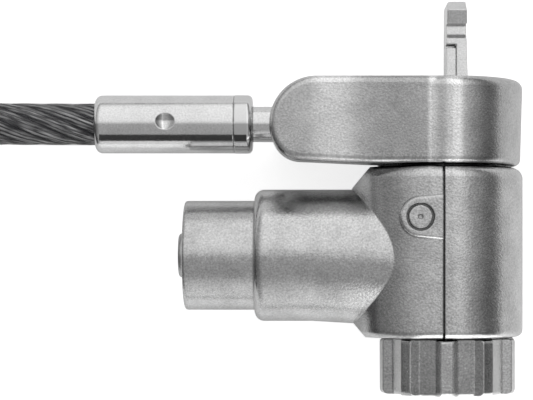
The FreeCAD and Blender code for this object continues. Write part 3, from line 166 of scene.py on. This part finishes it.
# Each metal's tone, roughness, grain size, grain depth and mottle.
METALS = {
    "satin_nickel": (0.62, 0.22, 0.00022, 0.00002, 0.3),
    "satin_nickel_arm_painted_light": (0.62, 0.22, 0.00022, 0.000017, 0.25),
    "wheel_nickel": (0.6, 0.24, 0.00022, 0.000016, 0.25),
    "bright_nickel": (0.8, 0.12, 0.00018, 0.000005, 0.14),
    "polished_nickel": (0.78, 0.07, 0.0002, 0.000001, 0.03),
    "turned_steel": (0.5, 0.3, 0.0002, 0.000006, 0.06),
    "turned_brass": (0.6, 0.3, 0.0002, 0.000006, 0.06),
    "pressed_aluminium": (0.6, 0.35, 0.0003, 0.00001, 0.06),
}

# Painted light and shade in the arm's tone along x, as (millimetres from the spindle, share
# of the tone): a painted light patch near the pin, a painted highlight on the crease and a
# painted highlight band beyond it, with painted shade between them.
ARM_PAINTED_LIGHT = [
    (-21, 0.95), (-17, 1), (-14, 1.4), (-9, 0.8), (-3, 0.8), (-2.3, 1.45),
    (-1.2, 1), (-0.3, 1.45), (0.7, 1.45), (1.5, 0.95), (9, 0.95),
]

# The studio's brightness: the product of two curves over an angle in degrees from overhead,
# one towards the laptop (+Y) and one towards +X. The laptop's side is bright, and the wheel's
# is dimmer above a bright horizon. Across, the brightest strip is a little to the right of
# overhead, and each side is dark above its own horizon.
HEIGHTS = [
    (-90, 1.3), (-72, 1.3), (-42, 0.6), (-3, 0.65), (5, 1.3), (14, 1.5),
    (74, 1.6), (90, 1.3),
]
WIDTHS = [
    (-90, 0.8), (-80, 0.2), (-50, 0.3), (-15, 0.6), (5, 0.6), (15, 0.95),
    (30, 0.45), (60, 0.13), (75, 0.15), (90, 0.6),
]
HORIZON_SLOPE = -0.3

# The floor, its glow for the camera, and its glow in reflections, which falls between two
# places along the frame's own y.
FLOOR_REACH = 2.0
FLOOR_TONE = 0.8
FLOOR_GLOW = 0.76
FLOOR_GLOW_NEAR_STRIP = 0.6
FLOOR_GLOW_IN_METAL = 0.15
STRIP_SIDE_Y = -0.048
LOCK_SIDE_Y = -0.02

# The lamps: a soft one over the laptop's side, whose spot is given in the frame itself, and
# a low strip towards the wheel.
SOFTBOX_SIZE = (0.5, 0.3)
SOFTBOX_ENERGY = 0.5
SOFTBOX_SPOT = (0.0, 0.32, 0.4)
STRIP_SIZE = (0.038, 0.04)
STRIP_RADIANCE = 1.3
STRIP_X = 0.011
STRIP_Y = -0.057
STRIP_LEVEL = 0.021

# Cards that only show in reflections: name, tone, glow, y, left, right, low and high. The
# black one draws the dark line in the chrome, the white one covers the loop's image.
CARDS = [
    ("flag", 0.07, 0.0, -0.014, -0.044, -0.0232, 0.0047, 0.0108),
    ("white", 0.8, 0.4, -0.0482, -0.062, -0.004, -0.0088, -0.0004),
]


def make_camera():
    """Camera over the lock's front, looking straight down, framed as the photograph."""
    data = bpy.data.cameras.new("camera")
    data.sensor_width = SENSOR_WIDTH
    view_width = IMAGE_WIDTH / PIXELS_PER_METRE
    data.lens = SENSOR_WIDTH * CAMERA_DISTANCE / view_width
    foot_pixel_x = SPINDLE_PIXEL_X + FOOT_X * PIXELS_PER_METRE
    data.shift_x = (IMAGE_WIDTH / 2 - foot_pixel_x) / IMAGE_WIDTH
    data.shift_y = (FOOT_PIXEL_Y - IMAGE_HEIGHT / 2) / IMAGE_WIDTH
    data.clip_start = CLIP_START
    camera = link("camera", data)
    camera.location = SPINDLE + Vector((FOOT_X, FOOT_Y, CAMERA_DISTANCE))
    bpy.context.scene.camera = camera


def link(name, data):
    """A new object in the scene."""
    item = bpy.data.objects.new(name, data)
    bpy.context.scene.collection.objects.link(item)
    return item


def dress(item, material):
    """Makes the material the only one of the object."""
    item.data.materials.clear()
    item.data.materials.append(material)


def spline_curve(name, points, radius):
    """A smooth tube whose control points are the route's points."""
    data = bpy.data.curves.new(name, "CURVE")
    data.dimensions = "3D"
    spline = data.splines.new("NURBS")
    spline.points.add(len(points) - 1)
    for control, point in zip(spline.points, points):
        control.co = (*point, 1)
    spline.order_u = CURVE_ORDER
    spline.use_endpoint_u = True
    spline.resolution_u = CORD_SEGMENTS_PER_SPAN
    data.bevel_depth = radius
    data.bevel_resolution = CORD_BEVEL_SEGMENTS
    data.use_fill_caps = True
    return link(name, data)


def centre_line(curve):
    """Points read from the curve's own spline."""
    bevel = curve.data.bevel_depth
    curve.data.bevel_depth = 0
    mesh = bpy.data.meshes.new_from_object(curve)
    curve.data.bevel_depth = bevel
    points = [vertex.co.copy() for vertex in mesh.vertices]
    bpy.data.meshes.remove(mesh)
    return points


def on_coil(radius, angle, level):
    """A point at a distance and an angle round the coil's axis."""
    return Vector((
        SPINDLE.x + COIL_CENTRE[0] + radius * math.cos(angle),
        SPINDLE.y + COIL_CENTRE[1] + radius * math.sin(angle),
        level,
    ))


def coil_point(turn):
    """A point of the coil after so many turns: each layer runs in or out, then drops."""
    layer_turns = COIL_TURNS / COIL_LAYERS
    swing = (turn / layer_turns) % 2
    share = swing if swing < 1 else 2 - swing
    radius = COIL_OUTER - (COIL_OUTER - COIL_INNER) * share
    radius /= math.cos(math.pi / POINTS_PER_TURN)
    dropped = sum(
        min(max((turn - count * layer_turns) / LAYER_DROP_TURNS + 0.5, 0), 1)
        for count in range(1, COIL_LAYERS)
    )
    level = COIL_BOTTOM + (COIL_LAYERS - 1 - dropped) * COIL_LAYER_PITCH
    return on_coil(radius, COIL_START_ANGLE + 2 * math.pi * turn, level)


def coil_end():
    """The end of the short straight after the coil, its direction and its left side."""
    angle = COIL_START_ANGLE + 2 * math.pi * COIL_TURNS
    way = Vector((-math.sin(angle), math.cos(angle), 0))
    side = Vector((-way.y, way.x, 0))
    spot = on_coil(COIL_OUTER, angle, COIL_BOTTOM)
    return spot + way * 2 * CABLE_RADIUS, way, side


def cable_points():
    """The free cable's control points, from the ferrule to the end sleeve."""
    steps = round(COIL_TURNS * POINTS_PER_TURN)
    points = [SPINDLE + Vector(point) for point in LEAD_ROUTE]
    points += [coil_point(COIL_TURNS * index / steps) for index in range(steps + 1)]
    points.append(coil_end()[0])
    return points


def eye_points():
    """The loop's points, out on the left strand and back on the right one."""
    spot, way, side = coil_end()
    foot = spot - side * STRAND_OFFSET + way * SLEEVE_LENGTH
    route = [(0.0, STRAND_OFFSET), (EYE_PARTING, STRAND_OFFSET)] + EYE_ROUTE
    outward = [foot + way * ahead + side * left for ahead, left in route]
    inward = [foot + way * ahead - side * left for ahead, left in reversed(route)]
    return outward + inward


def line_length(points):
    return sum((after - before).length for before, after in zip(points, points[1:]))


def evenly_spaced(points, step):
    """Points along the same line, all the same step apart."""
    count = round(line_length(points) / step)
    spacing = line_length(points) / count
    spaced = [points[0]]
    due = spacing
    passed = 0.0
    for before, after in zip(points, points[1:]):
        span = (after - before).length
        while due <= passed + span and len(spaced) < count:
            spaced.append(before.lerp(after, (due - passed) / span))
            due += spacing
        passed += span
    return spaced + [points[-1]]


def line_frames(points):
    """Distance along the line, direction and a side that doesn't twist, at each point."""
    frames = []
    travelled = 0.0
    side = Vector((0, 0, 1))
    last = len(points) - 1
    for index, point in enumerate(points):
        way = (points[min(index + 1, last)] - points[max(index - 1, 0)]).normalized()
        side = (side - way * side.dot(way)).normalized()
        frames.append((travelled, point, way, side.copy()))
        if index < last:
            travelled += (points[index + 1] - point).length
    return frames


def rope_ring(builder, travelled, point, way, side):
    """One ring of the rope's lobed section, turned by the strands' lay."""
    other = way.cross(side)
    twist = 2 * math.pi * travelled / STRAND_LAY
    ring = []
    for index in range(ROPE_STEPS_AROUND):
        angle = 2 * math.pi * index / ROPE_STEPS_AROUND
        lobe = math.sqrt(abs(math.cos(STRANDS / 2 * angle)))
        radius = ROPE_RADIUS * (1 - STRAND_RELIEF * (1 - lobe))
        turned = angle + twist
        offset = side * math.cos(turned) + other * math.sin(turned)
        ring.append(builder.verts.new(point + offset * radius))
    return ring


def lobed_rope(name, points):
    """Twisted strands under the jacket, with maps that run along the wires and the strands."""
    around = ROPE_STEPS_AROUND
    mesh = bpy.data.meshes.new(name)
    builder = bmesh.new()
    wire_layer = builder.loops.layers.uv.new("wires")
    strand_layer = builder.loops.layers.uv.new("strands")
    frames = line_frames(evenly_spaced(points, ROPE_STEP))
    rings = [rope_ring(builder, *line_frame) for line_frame in frames]
    for index in range(len(rings) - 1):
        for step in range(around):
            following = (step + 1) % around
            face = builder.faces.new((
                rings[index][step], rings[index][following],
                rings[index + 1][following], rings[index + 1][step],
            ))
            face.smooth = True
            corners = (
                (index, step), (index, step + 1), (index + 1, step + 1), (index + 1, step),
            )
            for loop, (ring_index, ring_step) in zip(face.loops, corners):
                along = frames[ring_index][0]
                strand = STRANDS * ring_step / around
                skewed = strand + STRANDS * WIRE_SKEW * along / STRAND_LAY
                loop[wire_layer].uv = (along * MM_PER_METRE, skewed * WIRES_PER_STRAND)
                loop[strand_layer].uv = (along * MM_PER_METRE, strand)
    builder.to_mesh(mesh)
    builder.free()
    return link(name, mesh)


def new_material(name):
    material = bpy.data.materials.new(name)
    material.use_nodes = True
    tree = material.node_tree
    return material, tree, tree.nodes["Principled BSDF"]


def matte_material(name, tone):
    """An even grey without gloss, which can also glow white."""
    material, tree, shader = new_material(name)
    shader.inputs["Base Color"].default_value = (tone, tone, tone, 1)
    shader.inputs["Roughness"].default_value = 1.0
    shader.inputs["Specular IOR Level"].default_value = 0.0
    shader.inputs["Emission Color"].default_value = (*WHITE, 1)
    return material, tree, shader


def add_node(tree, kind, **values):
    """A node with its inputs or properties set by name."""
    node = tree.nodes.new(kind)
    for key, value in values.items():
        if key in node.inputs:
            node.inputs[key].default_value = value
        else:
            setattr(node, key, value)
    return node


def math_node(tree, operation, *values):
    """A Math node whose values are other nodes' outputs or plain numbers."""
    node = add_node(tree, "ShaderNodeMath", operation=operation)
    for socket, value in zip(node.inputs, values):
        if isinstance(value, (int, float)):
            socket.default_value = value
        else:
            tree.links.new(value, socket)
    return node.outputs[0]


def mapped(tree, source, low, high, from_low=0.0, from_high=1.0):
    """The source's range from from_low to from_high, brought to low and high."""
    node = add_node(tree, "ShaderNodeMapRange")
    node.inputs["From Min"].default_value = from_low
    node.inputs["From Max"].default_value = from_high
    node.inputs["To Min"].default_value = low
    node.inputs["To Max"].default_value = high
    tree.links.new(source, node.inputs["Value"])
    return node.outputs["Result"]


def object_position(tree):
    return add_node(tree, "ShaderNodeTexCoord").outputs["Object"]


def separated(tree, vector):
    """The vector's three parts, by the names X, Y and Z."""
    parts = add_node(tree, "ShaderNodeSeparateXYZ")
    tree.links.new(vector, parts.inputs["Vector"])
    return parts.outputs


def grey_colour(tree, value, tint=WHITE):
    """A grey of the given value, or that value times the tint's share in each channel."""
    node = add_node(tree, "ShaderNodeCombineColor")
    for channel, share in zip(("Red", "Green", "Blue"), tint):
        scaled = value if share == 1 else math_node(tree, "MULTIPLY", value, share)
        tree.links.new(scaled, node.inputs[channel])
    return node.outputs["Color"]


def add_bump(tree, shader, height, distance, strength=1.0):
    """Fine relief on the shader's normal."""
    bump = add_node(tree, "ShaderNodeBump", Strength=strength)
    bump.inputs["Distance"].default_value = distance
    tree.links.new(height, bump.inputs["Height"])
    tree.links.new(bump.outputs["Normal"], shader.inputs["Normal"])
    return bump


def curved(tree, share, low, high, stops, handle="VECTOR"):
    """A curve through its stops (place, value), for a share of the way from low to high."""
    curve = add_node(tree, "ShaderNodeFloatCurve")
    top = max(value for place, value in stops)
    points = curve.mapping.curves[0].points
    while len(points) < len(stops):
        points.new(0.5, 0.5)
    for point, (place, value) in zip(points, stops):
        point.location = ((place - low) / (high - low), value / top)
        point.handle_type = handle
    curve.mapping.update()
    tree.links.new(share, curve.inputs["Value"])
    return math_node(tree, "MULTIPLY", curve.outputs[0], top)


def painted_crevice_shade(tree):
    """Full in the open and low inside narrow grooves and gaps: painted shade from ambient
    occlusion.
    """
    crevice_shade = add_node(tree, "ShaderNodeAmbientOcclusion", Distance=CREVICE_REACH,
                       samples=CREVICE_SAMPLES)
    return mapped(tree, crevice_shade.outputs["AO"], CREVICE_SHADE, 1.0, *CREVICE_OPENNESS)


def metal(name, painted_light=None, tint=WHITE):
    """Bare or plated metal: fine grain in the relief, the tone and the gloss.

    Its optional list paints highlights and shade into the tone, as (x in millimetres from the
    spindle, share of the tone).
    """
    tone, roughness, grain_size, grain_depth, mottle = METALS[name]
    material, tree, shader = new_material(name)
    shader.inputs["Metallic"].default_value = 1.0
    position = object_position(tree)
    grain = add_node(tree, "ShaderNodeTexNoise", Scale=1 / grain_size, Detail=GRAIN_DETAIL)
    broad = add_node(tree, "ShaderNodeTexNoise", Scale=BROAD_SCALE / grain_size,
                     Detail=BROAD_DETAIL)
    for texture in (grain, broad):
        tree.links.new(position, texture.inputs["Vector"])
    both = add_node(tree, "ShaderNodeMix", Factor=BROAD_SHARE)
    tree.links.new(grain.outputs["Fac"], both.inputs["A"])
    tree.links.new(broad.outputs["Fac"], both.inputs["B"])
    mixed = both.outputs["Result"]
    value = mapped(tree, mixed, tone * (1 - mottle), tone * (1 + mottle), NOISE_LOW, NOISE_HIGH)
    # Painted highlights and shade along x, multiplied into the tone.
    if painted_light:
        low, high = painted_light[0][0], painted_light[-1][0]
        share = mapped(tree, separated(tree, position)["X"], 0, 1,
                       SPINDLE.x + low / MM_PER_METRE, SPINDLE.x + high / MM_PER_METRE)
        painted_tones = curved(tree, share, low, high, painted_light, "AUTO")
        value = math_node(tree, "MULTIPLY", value, painted_tones)
    # Painted shade in crevices, multiplied into the tone.
    value = math_node(tree, "MULTIPLY", value, painted_crevice_shade(tree))
    tree.links.new(grey_colour(tree, value, tint), shader.inputs["Base Color"])
    gloss = mapped(tree, mixed, roughness * (1 - GLOSS_SPREAD), roughness * (1 + GLOSS_SPREAD),
                   NOISE_LOW, NOISE_HIGH)
    tree.links.new(gloss, shader.inputs["Roughness"])
    bump = add_bump(tree, shader, grain.outputs["Fac"], grain_depth)
    worn_edge = add_node(tree, "ShaderNodeBevel", Radius=EDGE_WEAR, samples=EDGE_SAMPLES)
    tree.links.new(worn_edge.outputs["Normal"], bump.inputs["Normal"])
    return material


def distance_from_half(tree, uv_name):
    """A map's coordinates, and how far the second is from midway between whole numbers."""
    uv = add_node(tree, "ShaderNodeUVMap", uv_map=uv_name).outputs["UV"]
    share = math_node(tree, "FRACT", separated(tree, uv)["Y"])
    centred = math_node(tree, "SUBTRACT", share, 0.5)
    return uv, math_node(tree, "ABSOLUTE", centred)


def rope_material():
    """Steel strands seen through the smoke coat: bright wires, painted shade in the grooves
    between them and painted dark gaps between strands.
    """
    material, tree, shader = new_material("steel_rope")
    shader.inputs["Metallic"].default_value = ROPE_METALLIC
    shader.inputs["Roughness"].default_value = ROPE_ROUGHNESS
    uv, from_wire_middle = distance_from_half(tree, "wires")
    from_gap = distance_from_half(tree, "strands")[1]
    # Painted shade in the grooves between wires and in the gaps between strands.
    wire_groove_shade = mapped(tree, from_wire_middle, 1.0, WIRE_GROOVE_SHADE, *WIRE_GROOVE)
    strand_gap_shade = mapped(tree, from_gap, GAP_SHADE, 1.0, *GAP_EDGE)
    mapping = add_node(tree, "ShaderNodeMapping")
    mapping.inputs["Scale"].default_value = WEAR_SCALE
    tree.links.new(uv, mapping.inputs["Vector"])
    wear = add_node(tree, "ShaderNodeTexNoise", Scale=1.0, Detail=2.0)
    tree.links.new(mapping.outputs["Vector"], wear.inputs["Vector"])
    worn = mapped(tree, wear.outputs["Fac"], *WEAR_TONES, *WEAR_NOISE)
    # The relief is both the bump's height and painted shade in the tone.
    relief = math_node(tree, "MULTIPLY", wire_groove_shade, strand_gap_shade)
    value = math_node(tree, "MULTIPLY", relief, worn)
    tree.links.new(grey_colour(tree, value), shader.inputs["Base Color"])
    add_bump(tree, shader, relief, ROPE_BUMP)
    return material


def jacket_material():
    """Thin clear coat over the rope, slightly smoky."""
    material, tree, shader = new_material("clear_jacket")
    shader.inputs["Base Color"].default_value = JACKET_COLOUR
    shader.inputs["Alpha"].default_value = JACKET_ALPHA
    texture = add_node(tree, "ShaderNodeTexNoise", Scale=JACKET_NOISE_SCALE, Detail=2.0)
    tree.links.new(object_position(tree), texture.inputs["Vector"])
    gloss = mapped(tree, texture.outputs["Fac"], *JACKET_ROUGHNESS)
    tree.links.new(gloss, shader.inputs["Roughness"])
    return material


def strap_material():
    """Black woven strap: warp and weft as crossed waves."""
    material, tree, shader = new_material("woven_strap")
    shader.inputs["Roughness"].default_value = WEAVE_ROUGHNESS
    position = object_position(tree)
    threads = []
    for direction in ("X", "Z"):
        wave = add_node(tree, "ShaderNodeTexWave", Scale=WEAVE_SCALE, bands_direction=direction)
        tree.links.new(position, wave.inputs["Vector"])
        threads.append(wave.outputs["Fac"])
    both = math_node(tree, "MULTIPLY", *threads)
    value = mapped(tree, both, *WEAVE_TONES)
    tree.links.new(grey_colour(tree, value), shader.inputs["Base Color"])
    add_bump(tree, shader, both, WEAVE_BUMP, WEAVE_BUMP_STRENGTH)
    return material


def tie_outline():
    """The strap's section round the coil's turns, as points (from the coil's axis, height)."""
    low_x, high_x = TIE_INNER + TIE_CORNER, TIE_OUTER - TIE_CORNER
    low_z, high_z = TIE_FLOOR + TIE_CORNER, TIE_TOP - TIE_CORNER
    corners = [(high_x, low_z, -90), (high_x, high_z, 0), (low_x, high_z, 90),
               (low_x, low_z, 180)]
    outline = []
    for centre_x, centre_z, start in corners:
        for step in range(TIE_CORNER_STEPS + 1):
            angle = math.radians(start + QUARTER_TURN * step / TIE_CORNER_STEPS)
            outline.append((centre_x + TIE_CORNER * math.cos(angle),
                            centre_z + TIE_CORNER * math.sin(angle)))
    return outline


def sheet_along(name, outline, half_width, thickness):
    """A strip of the given thickness that follows an outline, with softly rounded edges."""
    turn = Matrix.Rotation(TIE_ANGLE, 3, "Z")
    centre = Vector((SPINDLE.x + COIL_CENTRE[0], SPINDLE.y + COIL_CENTRE[1], 0))
    flat = TIE_EDGE_FLAT * half_width
    section = [
        (-half_width, TIE_EDGE_LOW), (-flat, 0), (flat, 0), (half_width, TIE_EDGE_LOW),
        (half_width, TIE_EDGE_HIGH), (flat, 1), (-flat, 1), (-half_width, TIE_EDGE_HIGH),
    ]
    builder = bmesh.new()
    rings = []
    last = len(outline) - 1
    for index, (radial, height) in enumerate(outline):
        before = Vector(outline[max(index - 1, 0)])
        after = Vector(outline[min(index + 1, last)])
        way = (after - before).normalized()
        outward = Vector((way.y, -way.x))
        ring = []
        for across, share in section:
            spot = Vector((radial, height)) + outward * thickness * share
            ring.append(builder.verts.new(centre + turn @ Vector((spot.x, across, spot.y))))
        rings.append(ring)
    for first, second in zip(rings, rings[1:]):
        for step in range(len(section)):
            following = (step + 1) % len(section)
            face = builder.faces.new((first[step], first[following],
                                      second[following], second[step]))
            face.smooth = True
    builder.faces.new(rings[0])
    builder.faces.new(list(reversed(rings[-1])))
    bmesh.ops.recalc_face_normals(builder, faces=builder.faces)
    mesh = bpy.data.meshes.new(name)
    builder.to_mesh(mesh)
    builder.free()
    return link(name, mesh)


def make_strap(material):
    """Hook and loop strap round the coil: one turn, and its end pressed on the inner side."""
    turn = tie_outline()
    strap = sheet_along("coil_strap", turn + [turn[0]], TIE_WIDTH / 2, TIE_THICKNESS)
    inner = TIE_INNER - TIE_THICKNESS
    flap_line = [
        (inner, TIE_TOP - TIE_CORNER), (inner, TIE_TOP - 2 * TIE_CORNER),
        (inner, TIE_FLOOR + 3 * TIE_CORNER), (inner - FLAP_LEAN, TIE_FLOOR + 2 * TIE_CORNER),
    ]
    flap = sheet_along("strap_end", flap_line, FLAP_HALF_SHARE * TIE_WIDTH, TIE_THICKNESS)
    for item in (strap, flap):
        dress(item, material)
        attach(item, "cable")
    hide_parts("coil_tie")
    return [strap, flap]


def make_cable(strap_cloth):
    """The free cable with its coil, and the loop behind its end sleeve."""
    jacket = jacket_material()
    rope = rope_material()
    cable = spline_curve("coated_cable", cable_points(), CABLE_RADIUS)
    line = centre_line(cable)
    strands = lobed_rope("cable_strands", line)
    eye = spline_curve("loop_cable", eye_points(), CABLE_RADIUS)
    eye_line = centre_line(eye)
    eye_strands = lobed_rope("loop_strands", eye_line)
    for item, material in ((cable, jacket), (eye, jacket), (strands, rope),
                           (eye_strands, rope)):
        dress(item, material)
        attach(item, "cable")
    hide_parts("cable_lead", "cable_coil")
    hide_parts("end_eye")
    [strands, "end_sleeve"] + make_strap(strap_cloth)


def brightness(tree, angle, stops):
    """Brightness over an angle within a quarter turn to either side."""
    low, high = -QUARTER_TURN, QUARTER_TURN
    share = mapped(tree, angle, 0, 1, math.radians(low), math.radians(high))
    return curved(tree, share, low, high, stops)


def make_world():
    """Studio surroundings: a broad soft light overhead and darker flags at the sides."""
    world = bpy.data.worlds.new("studio")
    world.use_nodes = True
    bpy.context.scene.world = world
    tree = world.node_tree
    background = tree.nodes["Background"]
    coordinates = add_node(tree, "ShaderNodeTexCoord")
    parts = separated(tree, coordinates.outputs["Generated"])
    upward = math_node(tree, "ARCTAN2", parts["Y"], parts["Z"])
    # Towards the wheel the sideways angle keeps a height, or it would jump at the horizon.
    slope = math_node(tree, "MULTIPLY", parts["Y"], HORIZON_SLOPE)
    height = math_node(tree, "MAXIMUM", slope, parts["Z"])
    sideways = math_node(tree, "ARCTAN2", parts["X"], height)
    strength = math_node(tree, "MULTIPLY", brightness(tree, upward, HEIGHTS),
                         brightness(tree, sideways, WIDTHS))
    tree.links.new(strength, background.inputs["Strength"])
    background.inputs["Color"].default_value = (*WHITE, 1)


def make_floor():
    """White table that fills the picture's background and keeps the lock's shadow."""
    reach = FLOOR_REACH
    mesh = bpy.data.meshes.new("floor")
    corners = [(-reach, -reach, 0), (reach, -reach, 0), (reach, reach, 0), (-reach, reach, 0)]
    mesh.from_pydata(corners, [], [(0, 1, 2, 3)])
    floor = link("floor", mesh)
    material, tree, shader = matte_material("white_floor", FLOOR_TONE)
    in_metal = mapped(tree, separated(tree, object_position(tree))["Y"],
                      FLOOR_GLOW_NEAR_STRIP, FLOOR_GLOW_IN_METAL, STRIP_SIDE_Y, LOCK_SIDE_Y)
    path = add_node(tree, "ShaderNodeLightPath")
    glow = mapped(tree, path.outputs["Is Camera Ray"], 0.0, FLOOR_GLOW)
    for ray in ("Is Glossy Ray", "Is Transmission Ray"):
        reflected = math_node(tree, "MULTIPLY", path.outputs[ray], in_metal)
        glow = math_node(tree, "ADD", glow, reflected)
    tree.links.new(glow, shader.inputs["Emission Strength"])
    dress(floor, material)


def area_lamp(name, size):
    data = bpy.data.lights.new(name, "AREA")
    data.shape = "RECTANGLE"
    data.size, data.size_y = size
    return link(name, data)


def make_lights():
    """Large soft lamp over the laptop's side, and a low strip towards the wheel."""
    lamp = area_lamp("softbox", SOFTBOX_SIZE)
    lamp.data.energy = SOFTBOX_ENERGY
    lamp.location = SOFTBOX_SPOT
    lamp.visible_glossy = False
    aim = Vector((0, 0, 0)) - lamp.location
    lamp.rotation_euler = aim.to_track_quat("-Z", "Y").to_euler()

    strip = area_lamp("strip", STRIP_SIZE)
    strip.data.energy = STRIP_RADIANCE * math.pi * strip.data.size * strip.data.size_y
    strip.location = (SPINDLE.x + STRIP_X, SPINDLE.y + STRIP_Y, STRIP_LEVEL)
    strip.rotation_euler = (math.radians(QUARTER_TURN), 0, 0)
    strip.visible_camera = False


def make_card(name, tone, glow, level, left, right, low, high):
    """Small card that only shows in reflections, and only its side towards +Y."""
    mesh = bpy.data.meshes.new(name)
    corners = [(right, low), (left, low), (left, high), (right, high)]
    mesh.from_pydata([SPINDLE + Vector((x, level, z)) for x, z in corners], [], [(0, 1, 2, 3)])
    card = link(name, mesh)
    material, tree, shader = matte_material(name + "_card", tone)
    shader.inputs["Emission Strength"].default_value = glow
    facing = add_node(tree, "ShaderNodeNewGeometry")
    tree.links.new(mapped(tree, facing.outputs["Backfacing"], 1.0, 0.0), shader.inputs["Alpha"])
    dress(card, material)
    card.visible_camera = False
    card.visible_shadow = False
    card.visible_diffuse = False


def copy_of(name, source, material):
    """A dressed copy of a node's mesh that can be reshaped."""
    node = nodes[source]
    item = link(name, node.data.copy())
    item.matrix_world = node.matrix_world.copy()
    dress(item, material)
    return item, node


def make_spring(material):
    """The push spring, which shortens as the lock cylinder is pushed in; here a fixed copy of
    the node's mesh, carried by the housing.
    """
    spring, node = copy_of("push_spring", "cylinder_spring", material)
    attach(spring, "housing")
    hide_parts("cylinder_spring")
    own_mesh(spring)


def make_hook(material):
    """The hook's blade, with the front of its lip falling back towards the notch."""
    hook, node = copy_of("sloped_hook", "hook_blade", material)
    for vertex in hook.data.vertices:
        spot = node.matrix_world @ vertex.co - SPINDLE
        if abs(spot.y - LIP_BOTTOM) < LIP_SEARCH and spot.z > HOOK_FRONT - LIP_SEARCH:
            vertex.co.z -= LIP_FALL
    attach(hook, "tongue")
    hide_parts("hook_blade")


def dress_lock(strap_cloth):
    """Finishes of the CAD's own pieces. Those that aren't named are turned steel."""
    satin = metal("satin_nickel")
    arm = metal("satin_nickel_arm_painted_light", ARM_PAINTED_LIGHT)
    wheel = metal("wheel_nickel")
    bright = metal("bright_nickel")
    mirror = metal("polished_nickel")
    steel = metal("turned_steel")
    brass = metal("turned_brass", tint=BRASS_TINT)
    crimped = metal("pressed_aluminium")
    finishes = {
        "collar_arm": arm, "main_housing": satin, "housing_cover": satin,
        "lock_cylinder": satin, "neck_pin": satin, "thumb_wheel": wheel, "ferrule_tube": bright,
        "ferrule_ring": mirror, "swivel_stud": bright, "hook_blade": bright,
        "guide_bar": bright, "spindle_bush": brass, "disc_tumblers": brass,
        "disc_spacers": brass, "end_sleeve": crimped, "coil_tie": strap_cloth,
    }
    for name, node in nodes.items():
        dress(node, finishes.get(name, steel))
    make_spring(steel)
    make_hook(bright)


bpy.context.scene.view_settings.view_transform = "Standard"
make_camera()
cloth = strap_material()
make_cable(cloth)
make_world()
make_floor()
make_lights()
for card in CARDS:
    make_card(*card)
dress_lock(cloth)
